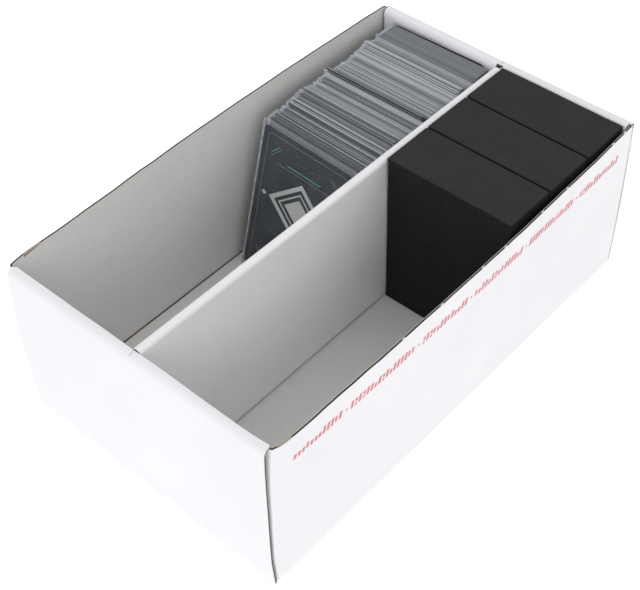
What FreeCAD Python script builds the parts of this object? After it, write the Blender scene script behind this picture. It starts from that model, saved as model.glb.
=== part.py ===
import FreeCAD, Part
import math
import os

os.makedirs("parts", exist_ok=True)

V = FreeCAD.Vector

# ---------------------------------------------------------------------------
# Driving dimensions, millimetres. +X is the right-hand side, -Y the near end,
# +Z up. The origin is the centre of the underside.
# ---------------------------------------------------------------------------
BOARD = 1.6            # single-wall E-flute board
WIDTH = 164.0          # outside width at the floor crease
RIM_Z = 98.2           # top of the side walls and of the rolled end walls
SIDE_BOW = 3.3         # outward bow of the free top edge of each side wall
SIDE_TOP_LEAN = 0.9    # how far the top corners of a side wall lean out
SIDE_HALF_BOTTOM = 137.3   # half length of a side wall at the floor
SIDE_HALF_MID = 138.5      # and where its corner creases bulge most
SIDE_HALF_TOP = 136.3      # and at the rim
SIDE_MID_Z = 45.0

END_FOOT_Y = 138.9     # outer face of an end wall at the floor
END_BULGE_Y = 141.0    # outer face of an end wall at mid height
END_TOP_Y = 139.3      # outer face of an end wall under the roll
END_BULGE_Z = 50.0
END_HALF_WIDTH = 81.7  # half width of the outer end panel
ROLL_Z = 95.0          # where the roll-over top begins
ROLL_R = 2.4           # outside radius of the roll's two bends
INNER_FACE_Y = 133.4   # inner face of an end wall
INNER_HALF_WIDTH = 80.1
ROLL_HALF_WIDTH = 80.3

FLAP_LENGTH = 58.0     # corner tuck flaps
FLAP_THICK = 1.45
FLAP_TOP_Z = 94.6
FLAP_CHAMFER = 16.0

LOCK_X = 40.0          # locking tabs under the inner end panels
LOCK_WIDTH = 24.0
LOCK_SLOT_CLEAR = 0.3

DIV_HALF_BOTTOM = 3.6  # divider: half width over both leaves at the floor
DIV_HALF_TOP = 2.6     # and under the fold
DIV_FOLD_Z = 95.6
DIV_BOTTOM_Z = 1.9
DIV_HALF_LENGTH = 133.0
DIV_TAB_BOTTOM_Z = 66.0
DIV_TAB_TOP_Z = 96.6
DIV_TAB_REACH = 137.5
DIV_TAB_THICK = 3.2
SLOT_HALF = 2.0        # slot through each roll for a divider tab
SLOT_BOTTOM_Z = 62.0
SLOT_REACH = 137.9
SLIT_HALF = 0.3        # fine cut across the outer half of each roll
SLIT_BOTTOM_Z = 96.4

SLEEVE_H = 91.5        # card sleeve
SLEEVE_W = 66.4
CARD_W = 63.5          # poker-size card
CARD_H = 88.0
CARD_T = 0.32
CARD_CORNER = 3.0
SLEEVE_T = 0.8
STACK_FLOOR_Z = 1.9
ROW_FRONT_BOTTOM = -0.1     # front face of the first packet at the floor
ROW_BACK_BOTTOM = 126.5    # back face of the last leaning packet
ROW_FRONT_TOP = 25.0
ROW_BACK_TOP = 130.6
PACKETS = 6
PACKET_GAP = 0.3
PACKET_LEFT_X = [-73.6, -74.6, -73.9, -73.0, -73.7, -73.2]
FRONT_CARD_LEFT_X = -73.3
FRONT_CARD_Y = -1.3
REAR_CARD_Y = 131.9
REAR_CARD_LEFT_X = -73.4
REAR_CARD_H = 92.6
REAR_CARD_Z = 3.1          # it is wedged a little above the floor

SPACER_X0 = 3.95       # foam blocks
SPACER_X1 = 80.05
SPACER_BOTTOM_Z = 1.8
SPACER_TOP_Z = 100.6
SPACER_Y = [(33.6, 65.9), (66.3, 98.7), (99.1, 131.5)]
SPACER_EDGE = 0.6

HALF = WIDTH / 2.0
nodes = {}


def face_from(edges):
    return Part.Face(Part.Wire(edges))


def poly_face(points):
    return Part.Face(Part.makePolygon([V(*p) for p in points] + [V(*points[0])]))


def prism_yz(points, x0, x1):
    f = poly_face([(x0, y, z) for y, z in points])
    return f.extrude(V(x1 - x0, 0, 0))


def prism_xz(points, y0, y1):
    f = poly_face([(x, y0, z) for x, z in points])
    return f.extrude(V(0, y1 - y0, 0))


def box(x0, x1, y0, y1, z0, z1):
    return Part.makeBox(x1 - x0, y1 - y0, z1 - z0, V(x0, y0, z0))


def line(a, b):
    return Part.makeLine(V(*a), V(*b))


def arc(a, m, b):
    return Part.Arc(V(*a), V(*m), V(*b)).toShape()


def mirror_x(shape):
    return shape.mirror(V(0, 0, 0), V(1, 0, 0))


def mirror_y(shape):
    return shape.mirror(V(0, 0, 0), V(0, 1, 0))


# ---------------------------------------------------------------------------
# Floor, with the four slots that take the locking tabs of the inner panels
# ---------------------------------------------------------------------------
floor = box(-HALF + BOARD, HALF - BOARD, -SIDE_HALF_BOTTOM, SIDE_HALF_BOTTOM, 0, BOARD)
slot_y0 = INNER_FACE_Y - 0.2
slot_y1 = INNER_FACE_Y + BOARD + 0.2
for sx in (-1, 1):
    for sy in (-1, 1):
        xc = sx * LOCK_X
        ya, yb = sorted((sy * slot_y0, sy * slot_y1))
        half = LOCK_WIDTH / 2 + LOCK_SLOT_CLEAR
        floor = floor.cut(box(xc - half, xc + half, ya, yb, -1, BOARD + 1))
nodes["floor_panel"] = floor


# ---------------------------------------------------------------------------
# Side walls: one board thick, straight at the floor crease, bowed at the rim
# ---------------------------------------------------------------------------
def side_wall():
    # a ruled sheet between the straight crease and the bowed rim, then trimmed
    # at both ends to the curved corner creases
    xo = HALF
    xi = HALF - BOARD
    lb = lt = SIDE_HALF_MID + 2.0
    to = HALF + SIDE_TOP_LEAN
    ti = to - BOARD
    bottom = Part.Wire([
        line((xi, -lb, 0), (xo, -lb, 0)),
        line((xo, -lb, 0), (xo, lb, 0)),
        line((xo, lb, 0), (xi, lb, 0)),
        line((xi, lb, 0), (xi, -lb, 0)),
    ])
    top = Part.Wire([
        line((ti, -lt, RIM_Z), (to, -lt, RIM_Z)),
        arc((to, -lt, RIM_Z), (to + SIDE_BOW, 0, RIM_Z), (to, lt, RIM_Z)),
        line((to, lt, RIM_Z), (ti, lt, RIM_Z)),
        arc((ti, lt, RIM_Z), (ti + SIDE_BOW, 0, RIM_Z), (ti, -lt, RIM_Z)),
    ])
    sheet = Part.makeLoft([bottom, top], True, True)
    x = HALF - 10.0
    a = SIDE_HALF_BOTTOM
    m = SIDE_HALF_MID
    t = SIDE_HALF_TOP
    outline = face_from([
        line((x, -a, 0), (x, a, 0)),
        arc((x, a, 0), (x, m, SIDE_MID_Z), (x, t, RIM_Z)),
        line((x, t, RIM_Z), (x, -t, RIM_Z)),
        arc((x, -t, RIM_Z), (x, -m, SIDE_MID_Z), (x, -a, 0)),
    ])
    return sheet.common(outline.extrude(V(25.0, 0, 0)))


wall = side_wall()
nodes["right_side_wall"] = wall
nodes["left_side_wall"] = mirror_x(wall)


# ---------------------------------------------------------------------------
# End walls: outer panel, roll-over top, inner panel, locking tabs
# ---------------------------------------------------------------------------
def outer_panel():
    b = BOARD
    zm = END_BULGE_Z
    x = -END_HALF_WIDTH
    edges = [
        arc((x, -END_FOOT_Y, 0), (x, -END_BULGE_Y, zm), (x, -END_TOP_Y, ROLL_Z)),
        line((x, -END_TOP_Y, ROLL_Z), (x, -END_TOP_Y + b, ROLL_Z)),
        arc((x, -END_TOP_Y + b, ROLL_Z), (x, -END_BULGE_Y + b, zm), (x, -END_FOOT_Y + b, 0)),
        line((x, -END_FOOT_Y + b, 0), (x, -END_FOOT_Y, 0)),
    ]
    return face_from(edges).extrude(V(2 * END_HALF_WIDTH, 0, 0))


def roll_top():
    yo = -END_TOP_Y
    yi = -INNER_FACE_Y
    r = ROLL_R
    b = BOARD
    ri = r - b
    k = math.sqrt(0.5)
    zt = RIM_Z

    def section(x):
        return [
            line((x, yo, ROLL_Z), (x, yo, zt - r)),
            arc((x, yo, zt - r), (x, yo + r - r * k, zt - r + r * k), (x, yo + r, zt)),
            line((x, yo + r, zt), (x, yi - r, zt)),
            arc((x, yi - r, zt), (x, yi - r + r * k, zt - r + r * k), (x, yi, zt - r)),
            line((x, yi, zt - r), (x, yi, ROLL_Z)),
            line((x, yi, ROLL_Z), (x, yi - b, ROLL_Z)),
            line((x, yi - b, ROLL_Z), (x, yi - b, zt - r)),
            arc((x, yi - b, zt - r), (x, yi - r + ri * k, zt - r + ri * k), (x, yi - r, zt - b)),
            line((x, yi - r, zt - b), (x, yo + r, zt - b)),
            arc((x, yo + r, zt - b), (x, yo + r - ri * k, zt - r + ri * k), (x, yo + b, zt - r)),
            line((x, yo + b, zt - r), (x, yo + b, ROLL_Z)),
            line((x, yo + b, ROLL_Z), (x, yo, ROLL_Z)),
        ]

    core = face_from(section(-ROLL_HALF_WIDTH)).extrude(V(2 * ROLL_HALF_WIDTH, 0, 0))
    wide = face_from(section(-END_HALF_WIDTH)).extrude(V(2 * END_HALF_WIDTH, 0, 0))
    wide = wide.common(box(-100, 100, yo - 1, -SIDE_HALF_TOP - 0.2, ROLL_Z - 1, zt + 1))
    s = core.fuse(wide).removeSplitter()
    s = s.cut(box(-SLOT_HALF, SLOT_HALF, -SLOT_REACH, yi + 1, SLOT_BOTTOM_Z, zt + 1))
    s = s.cut(box(-SLIT_HALF, SLIT_HALF, yo - 1, -SLOT_REACH + 0.1, SLIT_BOTTOM_Z, zt + 1))
    return s


def inner_panel():
    s = box(-INNER_HALF_WIDTH, INNER_HALF_WIDTH, -INNER_FACE_Y - BOARD, -INNER_FACE_Y, BOARD, ROLL_Z)
    return s.cut(box(-SLOT_HALF, SLOT_HALF, -SLOT_REACH, -INNER_FACE_Y + 1, SLOT_BOTTOM_Z, RIM_Z + 1))


def corner_flap():
    # lies between the outer and the inner end panel at the near right corner
    y0 = -136.6
    y1 = y0 + FLAP_THICK
    x1 = HALF - BOARD - 0.15
    x0 = x1 - FLAP_LENGTH
    z0 = BOARD + 0.1
    pts = [(x0, z0 + 6.0), (x0 + 6.0, z0), (x1, z0), (x1, FLAP_TOP_Z),
           (x0 + FLAP_CHAMFER, FLAP_TOP_Z), (x0, FLAP_TOP_Z - FLAP_CHAMFER)]
    return prism_xz(pts, y0, y1)


def lock_tab(side):
    xc = side * LOCK_X
    h = LOCK_WIDTH / 2
    y0 = -INNER_FACE_Y - BOARD
    pts = [(xc - h, BOARD), (xc - h + 1.2, 0.1), (xc + h - 1.2, 0.1), (xc + h, BOARD)]
    return prism_xz(pts, y0, y0 + BOARD)


outer = outer_panel()
roll = roll_top()
inner = inner_panel()
flap = corner_flap()
for end, f in (("front", lambda s: s), ("rear", mirror_y)):
    nodes[end + "_outer_panel"] = f(outer)
    nodes[end + "_roll_top"] = f(roll)
    nodes[end + "_inner_panel"] = f(inner)
    nodes[end + "_right_corner_flap"] = f(flap)
    nodes[end + "_left_corner_flap"] = f(mirror_x(flap))
    nodes[end + "_right_locking_tab"] = f(lock_tab(1))
    nodes[end + "_left_locking_tab"] = f(lock_tab(-1))


# ---------------------------------------------------------------------------
# Divider: one strip of board folded in two, with a tab at each end that drops
# into the slot of the roll
# ---------------------------------------------------------------------------
leaf = prism_xz([
    (DIV_HALF_BOTTOM - BOARD, DIV_BOTTOM_Z), (DIV_HALF_BOTTOM, DIV_BOTTOM_Z),
    (DIV_HALF_TOP, DIV_FOLD_Z), (DIV_HALF_TOP - BOARD, DIV_FOLD_Z)],
    -DIV_HALF_LENGTH, DIV_HALF_LENGTH)
nodes["divider_right_leaf"] = leaf
nodes["divider_left_leaf"] = mirror_x(leaf)

rf = DIV_HALF_TOP
ri = DIV_HALF_TOP - BOARD
y = -DIV_HALF_LENGTH
fold_face = face_from([
    line((-rf, y, DIV_FOLD_Z), (-ri, y, DIV_FOLD_Z)),
    arc((-ri, y, DIV_FOLD_Z), (0, y, DIV_FOLD_Z + ri), (ri, y, DIV_FOLD_Z)),
    line((ri, y, DIV_FOLD_Z), (rf, y, DIV_FOLD_Z)),
    arc((rf, y, DIV_FOLD_Z), (0, y, DIV_FOLD_Z + rf), (-rf, y, DIV_FOLD_Z)),
])
nodes["divider_top_fold"] = fold_face.extrude(V(0, 2 * DIV_HALF_LENGTH, 0))

half_t = DIV_TAB_THICK / 2
tab = box(-half_t, half_t, -DIV_TAB_REACH, -DIV_HALF_LENGTH, DIV_TAB_BOTTOM_Z, DIV_TAB_TOP_Z)
lead = prism_yz([(-DIV_TAB_REACH - 1, DIV_TAB_BOTTOM_Z - 1), (-DIV_TAB_REACH + 2.0, DIV_TAB_BOTTOM_Z - 1),
                 (-DIV_TAB_REACH - 1, DIV_TAB_BOTTOM_Z + 5.0)], -5, 5)
tab = tab.cut(lead)
nodes["divider_front_tab"] = tab
nodes["divider_rear_tab"] = mirror_y(tab)


# ---------------------------------------------------------------------------
# Row of sleeved cards: a pulled-up front card, six packets that lean back by
# less and less, and one card upright against the rear wall
# ---------------------------------------------------------------------------
lines = []
for i in range(PACKETS + 1):
    f = i / PACKETS
    yb = ROW_FRONT_BOTTOM + f * (ROW_BACK_BOTTOM - ROW_FRONT_BOTTOM)
    yt = ROW_FRONT_TOP + f * (ROW_BACK_TOP - ROW_FRONT_TOP)
    lean = math.asin((yt - yb) / SLEEVE_H)
    lines.append((yb, yt, STACK_FLOOR_Z + SLEEVE_H * math.cos(lean), lean))
    print("line %d: foot y %.2f top y %.2f z %.2f lean %.2f deg" % (i, yb, yt, lines[-1][2], math.degrees(lean)))

for i in range(PACKETS):
    yb0, yt0, zt0, a0 = lines[i]
    yb1, yt1, zt1, a1 = lines[i + 1]
    g = PACKET_GAP
    x0 = PACKET_LEFT_X[i]
    pts = [(yb0, STACK_FLOOR_Z), (yb1 - g, STACK_FLOOR_Z), (yt1 - g, zt1), (yt0, zt0)]
    nodes["card_packet_%d" % (i + 1)] = prism_yz(pts, x0, x0 + SLEEVE_W)


def rounded_plate(w, h, t, r):
    # plate in the XZ plane, lower left corner at the origin, thickness along +Y
    e = [
        line((r, 0, 0), (w - r, 0, 0)),
        arc((w - r, 0, 0), (w - r + r * math.sin(math.pi / 4), 0, r - r * math.cos(math.pi / 4)), (w, 0, r)),
        line((w, 0, r), (w, 0, h - r)),
        arc((w, 0, h - r), (w - r + r * math.cos(math.pi / 4), 0, h - r + r * math.sin(math.pi / 4)), (w - r, 0, h)),
        line((w - r, 0, h), (r, 0, h)),
        arc((r, 0, h), (r - r * math.cos(math.pi / 4), 0, h - r + r * math.sin(math.pi / 4)), (0, 0, h - r)),
        line((0, 0, h - r), (0, 0, r)),
        arc((0, 0, r), (r - r * math.cos(math.pi / 4), 0, r - r * math.sin(math.pi / 4)), (r, 0, 0)),
    ]
    return face_from(e).extrude(V(0, t, 0))


def sleeved(height, lean, x, y, z):
    sleeve = rounded_plate(SLEEVE_W, height, SLEEVE_T, 1.0)
    cx = (SLEEVE_W - CARD_W) / 2
    ct = (SLEEVE_T - CARD_T) / 2
    clear = 0.06
    pocket = box(cx - clear, cx + CARD_W + clear, ct - clear, ct + CARD_T + clear, 1.4, height + 1)
    sleeve = sleeve.cut(pocket)
    card = rounded_plate(CARD_W, CARD_H, CARD_T, CARD_CORNER)
    card.translate(V(cx, ct, 1.5))
    for s in (sleeve, card):
        s.rotate(V(0, 0, 0), V(1, 0, 0), -math.degrees(lean))
        s.translate(V(x, y, z))
    return sleeve, card


sleeve, card = sleeved(SLEEVE_H, lines[0][3], FRONT_CARD_LEFT_X, FRONT_CARD_Y, 2.2)
nodes["front_card_sleeve"] = sleeve
nodes["front_card"] = card
sleeve, card = sleeved(REAR_CARD_H, 0.0, REAR_CARD_LEFT_X, REAR_CARD_Y, REAR_CARD_Z)
nodes["rear_card_sleeve"] = sleeve
nodes["rear_card"] = card


# ---------------------------------------------------------------------------
# Foam spacer blocks that fill the unused end of the right-hand lane
# ---------------------------------------------------------------------------
for name, (y0, y1) in zip(("front", "middle", "rear"), SPACER_Y):
    b = box(SPACER_X0, SPACER_X1, y0, y1, SPACER_BOTTOM_Z, SPACER_TOP_Z)
    nodes["foam_spacer_" + name] = b.makeChamfer(SPACER_EDGE, b.Edges)


for name, shape in sorted(nodes.items()):
    s = shape
    if s.ShapeType == "Compound" and len(s.Solids) == 1:
        s = s.Solids[0]
    assert s.isValid(), name
    assert s.Volume > 0, name
    print("%-26s %d solid(s) %9.0f mm3  x %.1f..%.1f y %.1f..%.1f z %.1f..%.1f" % (
        name, len(s.Solids), s.Volume, s.BoundBox.XMin, s.BoundBox.XMax,
        s.BoundBox.YMin, s.BoundBox.YMax, s.BoundBox.ZMin, s.BoundBox.ZMax))
    s.exportStep("parts/%s.step" % name)
print(len(nodes), "nodes")
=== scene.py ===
import bpy
import bmesh
import math
import random
import numpy as np
from mathutils import Matrix, Vector


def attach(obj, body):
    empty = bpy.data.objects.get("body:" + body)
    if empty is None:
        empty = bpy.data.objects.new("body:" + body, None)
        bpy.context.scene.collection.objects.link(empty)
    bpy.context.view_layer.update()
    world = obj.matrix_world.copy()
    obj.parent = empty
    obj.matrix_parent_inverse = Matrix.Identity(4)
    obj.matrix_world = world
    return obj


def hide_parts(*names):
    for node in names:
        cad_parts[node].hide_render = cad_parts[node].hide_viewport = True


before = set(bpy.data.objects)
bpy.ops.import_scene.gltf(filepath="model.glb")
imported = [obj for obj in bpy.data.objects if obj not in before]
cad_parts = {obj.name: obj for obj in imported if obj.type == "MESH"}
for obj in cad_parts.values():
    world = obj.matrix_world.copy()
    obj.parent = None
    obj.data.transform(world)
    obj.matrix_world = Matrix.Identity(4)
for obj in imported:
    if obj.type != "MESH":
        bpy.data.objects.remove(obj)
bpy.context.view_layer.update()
MM = 0.001
scene = bpy.context.scene

# ---------------------------------------------------------------------------
# Camera at the photograph's viewing angle
# ---------------------------------------------------------------------------
cam_data = bpy.data.cameras.new("camera")
cam = bpy.data.objects.new("camera", cam_data)
scene.collection.objects.link(cam)
right = Vector((0.76025, 0.64963, -0.00258)).normalized()
forward = Vector((-0.45438, 0.52891, -0.71679)).normalized()
up = right.cross(forward).normalized()
cam.matrix_world = Matrix((
    (right.x, up.x, -forward.x, 0.33368),
    (right.y, up.y, -forward.y, -0.37673),
    (right.z, up.z, -forward.z, 0.55174),
    (0, 0, 0, 1)))
cam_data.lens = 77.78
cam_data.sensor_width = 36.0
cam_data.sensor_fit = "HORIZONTAL"
cam_data.shift_x = -0.0523
cam_data.shift_y = -0.0177
cam_data.clip_start = 0.01
cam_data.clip_end = 20.0
scene.camera = cam

scene.view_settings.view_transform = "Standard"
scene.view_settings.look = "None"
scene.view_settings.exposure = 0.0
scene.view_settings.gamma = 1.0


# ---------------------------------------------------------------------------
# Node helpers
# ---------------------------------------------------------------------------
class Mat:
    """A small wrapper that keeps the node code readable."""

    def __init__(self, name, **fixed):
        self.m = bpy.data.materials.new(name)
        self.m.use_nodes = True
        self.t = self.m.node_tree
        self.t.nodes.clear()
        self.out = self.t.nodes.new("ShaderNodeOutputMaterial")
        self.b = self.t.nodes.new("ShaderNodeBsdfPrincipled")
        self.link(self.b.outputs[0], self.out.inputs["Surface"])
        for k, v in fixed.items():
            self.b.inputs[k.replace("_", " ")].default_value = v
        self.co = self.t.nodes.new("ShaderNodeTexCoord").outputs["Object"]

    def link(self, a, b):
        self.t.links.new(a, b)

    def node(self, kind, **props):
        n = self.t.nodes.new(kind)
        for k, v in props.items():
            setattr(n, k, v)
        return n

    def mapped(self, scale=(1, 1, 1), loc=(0, 0, 0), rot=(0, 0, 0)):
        n = self.node("ShaderNodeMapping")
        n.inputs["Scale"].default_value = scale
        n.inputs["Location"].default_value = loc
        n.inputs["Rotation"].default_value = rot
        self.link(self.co, n.inputs["Vector"])
        return n.outputs["Vector"]

    def noise(self, scale, detail=3.0, rough=0.55, co=None, dist=0.0):
        n = self.node("ShaderNodeTexNoise")
        n.inputs["Scale"].default_value = scale
        n.inputs["Detail"].default_value = detail
        n.inputs["Roughness"].default_value = rough
        n.inputs["Distortion"].default_value = dist
        self.link(co if co is not None else self.co, n.inputs["Vector"])
        return n.outputs["Fac"]

    def voronoi(self, scale, co=None, feature="F1", rand=1.0, out="Distance"):
        n = self.node("ShaderNodeTexVoronoi", feature=feature)
        n.inputs["Scale"].default_value = scale
        n.inputs["Randomness"].default_value = rand
        self.link(co if co is not None else self.co, n.inputs["Vector"])
        return n.outputs[out]

    def wave(self, scale, direction="X", dist=0.0, detail=2.0, dscale=1.0, profile="SIN", co=None):
        n = self.node("ShaderNodeTexWave", wave_type="BANDS", bands_direction=direction, wave_profile=profile)
        n.inputs["Scale"].default_value = scale
        n.inputs["Distortion"].default_value = dist
        n.inputs["Detail"].default_value = detail
        n.inputs["Detail Scale"].default_value = dscale
        self.link(co if co is not None else self.co, n.inputs["Vector"])
        return n.outputs["Fac"]

    def ramp(self, fac, *stops, interp="LINEAR"):
        n = self.node("ShaderNodeValToRGB")
        cr = n.color_ramp
        cr.interpolation = interp
        while len(cr.elements) < len(stops):
            cr.elements.new(0.5)
        for e, (p, c) in zip(cr.elements, stops):
            e.position = p
            e.color = tuple(c) + (1,) if isinstance(c, (tuple, list)) else (c, c, c, 1)
        self.link(fac, n.inputs["Fac"])
        return n.outputs["Color"]

    def mix(self, fac, a, b, kind="MIX"):
        n = self.node("ShaderNodeMix", data_type="RGBA", blend_type=kind)
        n.inputs[0].default_value = 1.0
        for sock, v in ((n.inputs[0], fac), (n.inputs[6], a), (n.inputs[7], b)):
            if isinstance(v, (int, float)):
                sock.default_value = v
            elif isinstance(v, (tuple, list)):
                sock.default_value = tuple(v) + (1,)
            else:
                self.link(v, sock)
        return n.outputs[2]

    def math(self, op, a, b=None, c=None, clamp=False):
        n = self.node("ShaderNodeMath", operation=op, use_clamp=clamp)
        for i, v in enumerate((a, b, c)):
            if v is None:
                continue
            if isinstance(v, (int, float)):
                n.inputs[i].default_value = v
            else:
                self.link(v, n.inputs[i])
        return n.outputs[0]

    def rng(self, v, a, b, c, d):
        n = self.node("ShaderNodeMapRange")
        self.link(v, n.inputs["Value"])
        for k, x in zip(("From Min", "From Max", "To Min", "To Max"), (a, b, c, d)):
            n.inputs[k].default_value = x
        return n.outputs[0]

    def attr(self, name, out="Fac"):
        n = self.node("ShaderNodeAttribute", attribute_name=name)
        return n.outputs[out]

    def sep(self):
        n = self.node("ShaderNodeSeparateXYZ")
        self.link(self.co, n.inputs[0])
        return n.outputs

    def bump(self, height, dist, strength=1.0, normal=None):
        n = self.node("ShaderNodeBump")
        n.inputs["Strength"].default_value = strength
        n.inputs["Distance"].default_value = dist
        self.link(height, n.inputs["Height"])
        if normal is not None:
            self.link(normal, n.inputs["Normal"])
        return n.outputs["Normal"]

    def color(self, sock):
        self.link(sock, self.b.inputs["Base Color"])

    def rough(self, sock):
        self.link(sock, self.b.inputs["Roughness"])

    def normal(self, sock):
        self.link(sock, self.b.inputs["Normal"])


FLUTE = 3.4 * MM   # E-flute pitch


def coat(name, axis, base=(0.872, 0.858, 0.886), shade=(0.845, 0.830, 0.862)):
    """Clay-coated white liner over E-flute: faint washboard across the flutes."""
    m = Mat(name, IOR=1.48, Specular_IOR_Level=0.42)
    big = m.noise(22.0, 3.0, 0.5)
    mid = m.noise(95.0, 4.0, 0.6)
    c = m.mix(m.rng(big, 0.35, 0.68, 0.0, 1.0), shade, base)
    c = m.mix(m.rng(mid, 0.55, 0.8, 0.0, 0.18), c, (0.80, 0.79, 0.805))
    # stray paper specks under the coating
    sp = m.voronoi(420.0)
    c = m.mix(m.math("MULTIPLY", m.math("LESS_THAN", sp, 0.07), 0.16), c, (0.52, 0.50, 0.48))
    # handling scuffs, long and faint
    sc = m.noise(60.0, 6.0, 0.7, co=m.mapped((1.0, 0.25, 3.0), rot=(0.3, 0.2, 0.5)))
    c = m.mix(m.rng(sc, 0.66, 0.80, 0.0, 0.14), c, (0.76, 0.75, 0.765))
    # painted highlight: the coating is made whiter where the tone attribute is raised, a bright line along the near
    # roll's inner bend and the divider's fold
    c = m.mix(m.rng(m.attr("tone"), 1.0, 2.0, 0.0, 0.8), c, (0.965, 0.962, 0.968))
    m.color(c)
    m.rough(m.rng(m.noise(140.0, 4.0, 0.6), 0.3, 0.7, 0.40, 0.58))
    fibre = m.noise(1500.0, 3.0, 0.65)
    orange = m.noise(420.0, 2.0, 0.5)
    wave = m.wave(1.0 / (FLUTE * 20.0) * 6.2832 * 0.5 * 2.0, axis, 0.35, 1.0, 0.3)
    n1 = m.bump(fibre, 0.000018, 0.6)
    n2 = m.bump(orange, 0.00003, 0.5, n1)
    n3 = m.bump(wave, 0.00002, 0.55, n2)
    m.normal(n3)
    return m.m


def liner(name, axis, tint=(0.752, 0.744, 0.733)):
    """Grey recycled inner liner with fibre flecks."""
    m = Mat(name, IOR=1.45, Specular_IOR_Level=0.22)
    lo = tuple(x * 0.93 for x in tint)
    hi = tuple(min(1, x * 1.05) for x in tint)
    fine = m.noise(1400.0, 4.0, 0.75)
    streak = m.noise(240.0, 4.0, 0.6, co=m.mapped((1.0, 0.16, 1.0)))
    cloud = m.noise(34.0, 3.0, 0.55)
    blot = m.noise(620.0, 3.0, 0.7)
    c = m.mix(m.rng(fine, 0.25, 0.75, 0.0, 1.0), lo, hi)
    c = m.mix(m.rng(streak, 0.35, 0.70, 0.0, 0.30), c, tuple(x * 0.92 for x in tint))
    c = m.mix(m.rng(blot, 0.50, 0.72, 0.0, 0.34), c, tuple(x * 0.80 for x in tint))
    dent = m.noise(210.0, 2.0, 0.5, co=m.mapped((1.0, 0.55, 1.0), loc=(0.4, 0.2, 0.9)))
    c = m.mix(m.rng(dent, 0.60, 0.74, 0.0, 0.22), c, tuple(x * 0.80 for x in tint))
    c = m.mix(m.rng(cloud, 0.42, 0.70, 0.0, 0.50), c, (tint[0] * 1.02, tint[1] * 1.005, tint[2] * 0.965))
    # faint dark and pale flecks of recycled fibre
    v1 = m.voronoi(300.0, co=m.mapped((1.0, 0.7, 1.0)))
    c = m.mix(m.math("MULTIPLY", m.math("LESS_THAN", v1, 0.060), 0.26), c, (0.25, 0.24, 0.23))
    v2 = m.voronoi(520.0, co=m.mapped((1.0, 1.0, 0.6), loc=(0.31, 0.12, 0.77)))
    c = m.mix(m.math("MULTIPLY", m.math("LESS_THAN", v2, 0.10), 0.22), c, (0.80, 0.77, 0.70))
    v3 = m.voronoi(900.0, co=m.mapped((1.0, 1.0, 1.0), loc=(0.11, 0.52, 0.07)))
    c = m.mix(m.math("MULTIPLY", m.math("LESS_THAN", v3, 0.12), 0.20), c, (0.36, 0.35, 0.34))
    m.color(c)
    m.rough(m.rng(fine, 0.3, 0.7, 0.80, 0.94))
    n1 = m.bump(fine, 0.00005, 0.7)
    n2 = m.bump(m.noise(500.0, 3.0, 0.6), 0.00004, 0.5, n1)
    wave = m.wave(1.0 / (FLUTE * 20.0) * 6.2832, axis, 0.35, 1.0, 0.3)
    m.normal(m.bump(wave, 0.00003, 0.6, n2))
    return m.m


def paper(name, a, b, scale=900.0, bump=0.00008, rough=(0.82, 0.96)):
    """Cut paper fibre: liner edges and fluting, some of them darkened as painted shade."""
    m = Mat(name, IOR=1.45, Specular_IOR_Level=0.15)
    n = m.noise(scale, 5.0, 0.7)
    big = m.noise(70.0, 2.0, 0.5)
    c = m.mix(m.rng(n, 0.3, 0.7, 0.0, 1.0), a, b)
    c = m.mix(m.rng(big, 0.4, 0.7, 0.0, 0.5), c, tuple(x * 0.82 for x in a))
    m.color(c)
    m.rough(m.rng(n, 0.3, 0.7, *rough))
    m.normal(m.bump(n, bump, 0.8))
    return m.m


WHITE_X = coat("coated_white_x", "X")
WHITE_Y = coat("coated_white_y", "Y")
WHITE_Z = coat("coated_white_z", "Z", (0.848, 0.834, 0.862), (0.822, 0.808, 0.838))
# painted light: a whiter copy of the coat for the divider, so that its top reads brighter than the walls
WHITE_D_LIT = coat("coated_white_divider", "Y", (0.906, 0.896, 0.920), (0.882, 0.871, 0.896))
GREY_X = liner("recycled_liner_x", "X")
GREY_Y = liner("recycled_liner_y", "Y")
GREY_Z = liner("recycled_liner_z", "Z")
EDGE_WHITE = paper("cut_edge_white", (0.70, 0.69, 0.68), (0.80, 0.795, 0.79))
EDGE_GREY = paper("cut_edge_grey", (0.46, 0.44, 0.40), (0.62, 0.59, 0.54))
# darker grey for the near panel's cut inner liner edge: partly the liner's own grey, partly painted shade of the corner
# fold behind it
EDGE_MID_SHADED = paper("cut_edge_mid_painted_shade", (0.27, 0.265, 0.26), (0.38, 0.37, 0.365))
EDGE_PALE = paper("cut_edge_pale", (0.60, 0.60, 0.61), (0.70, 0.70, 0.71))
# fluting darker than kraft: partly its own brown, partly painted shade in the flute channel
KRAFT_AND_SHADE = paper("fluting_kraft_and_painted_shade", (0.115, 0.090, 0.068), (0.20, 0.155, 0.115), 1200.0)
DARK = paper("fluting_shaded", (0.022, 0.018, 0.015), (0.048, 0.040, 0.032), 1200.0)
OLIVE = paper("torn_liner", (0.26, 0.23, 0.165), (0.36, 0.32, 0.235), 900.0)
TAN = paper("fluting_tan", (0.36, 0.31, 0.22), (0.47, 0.41, 0.30), 1200.0)
# painted shade: a dark grey that stands for the shade in the crease at the foot of the side walls
CREASE_SHADE = paper("crease_painted_shade", (0.20, 0.195, 0.185), (0.30, 0.29, 0.275), 1000.0)


# ---------------------------------------------------------------------------
# Mesh helpers. All build data is in millimetres. Lengths along the tray are
# counted from a datum 1.3 mm nearer than the frame's origin.
# ---------------------------------------------------------------------------
DATUM_Y = -1.3


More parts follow.
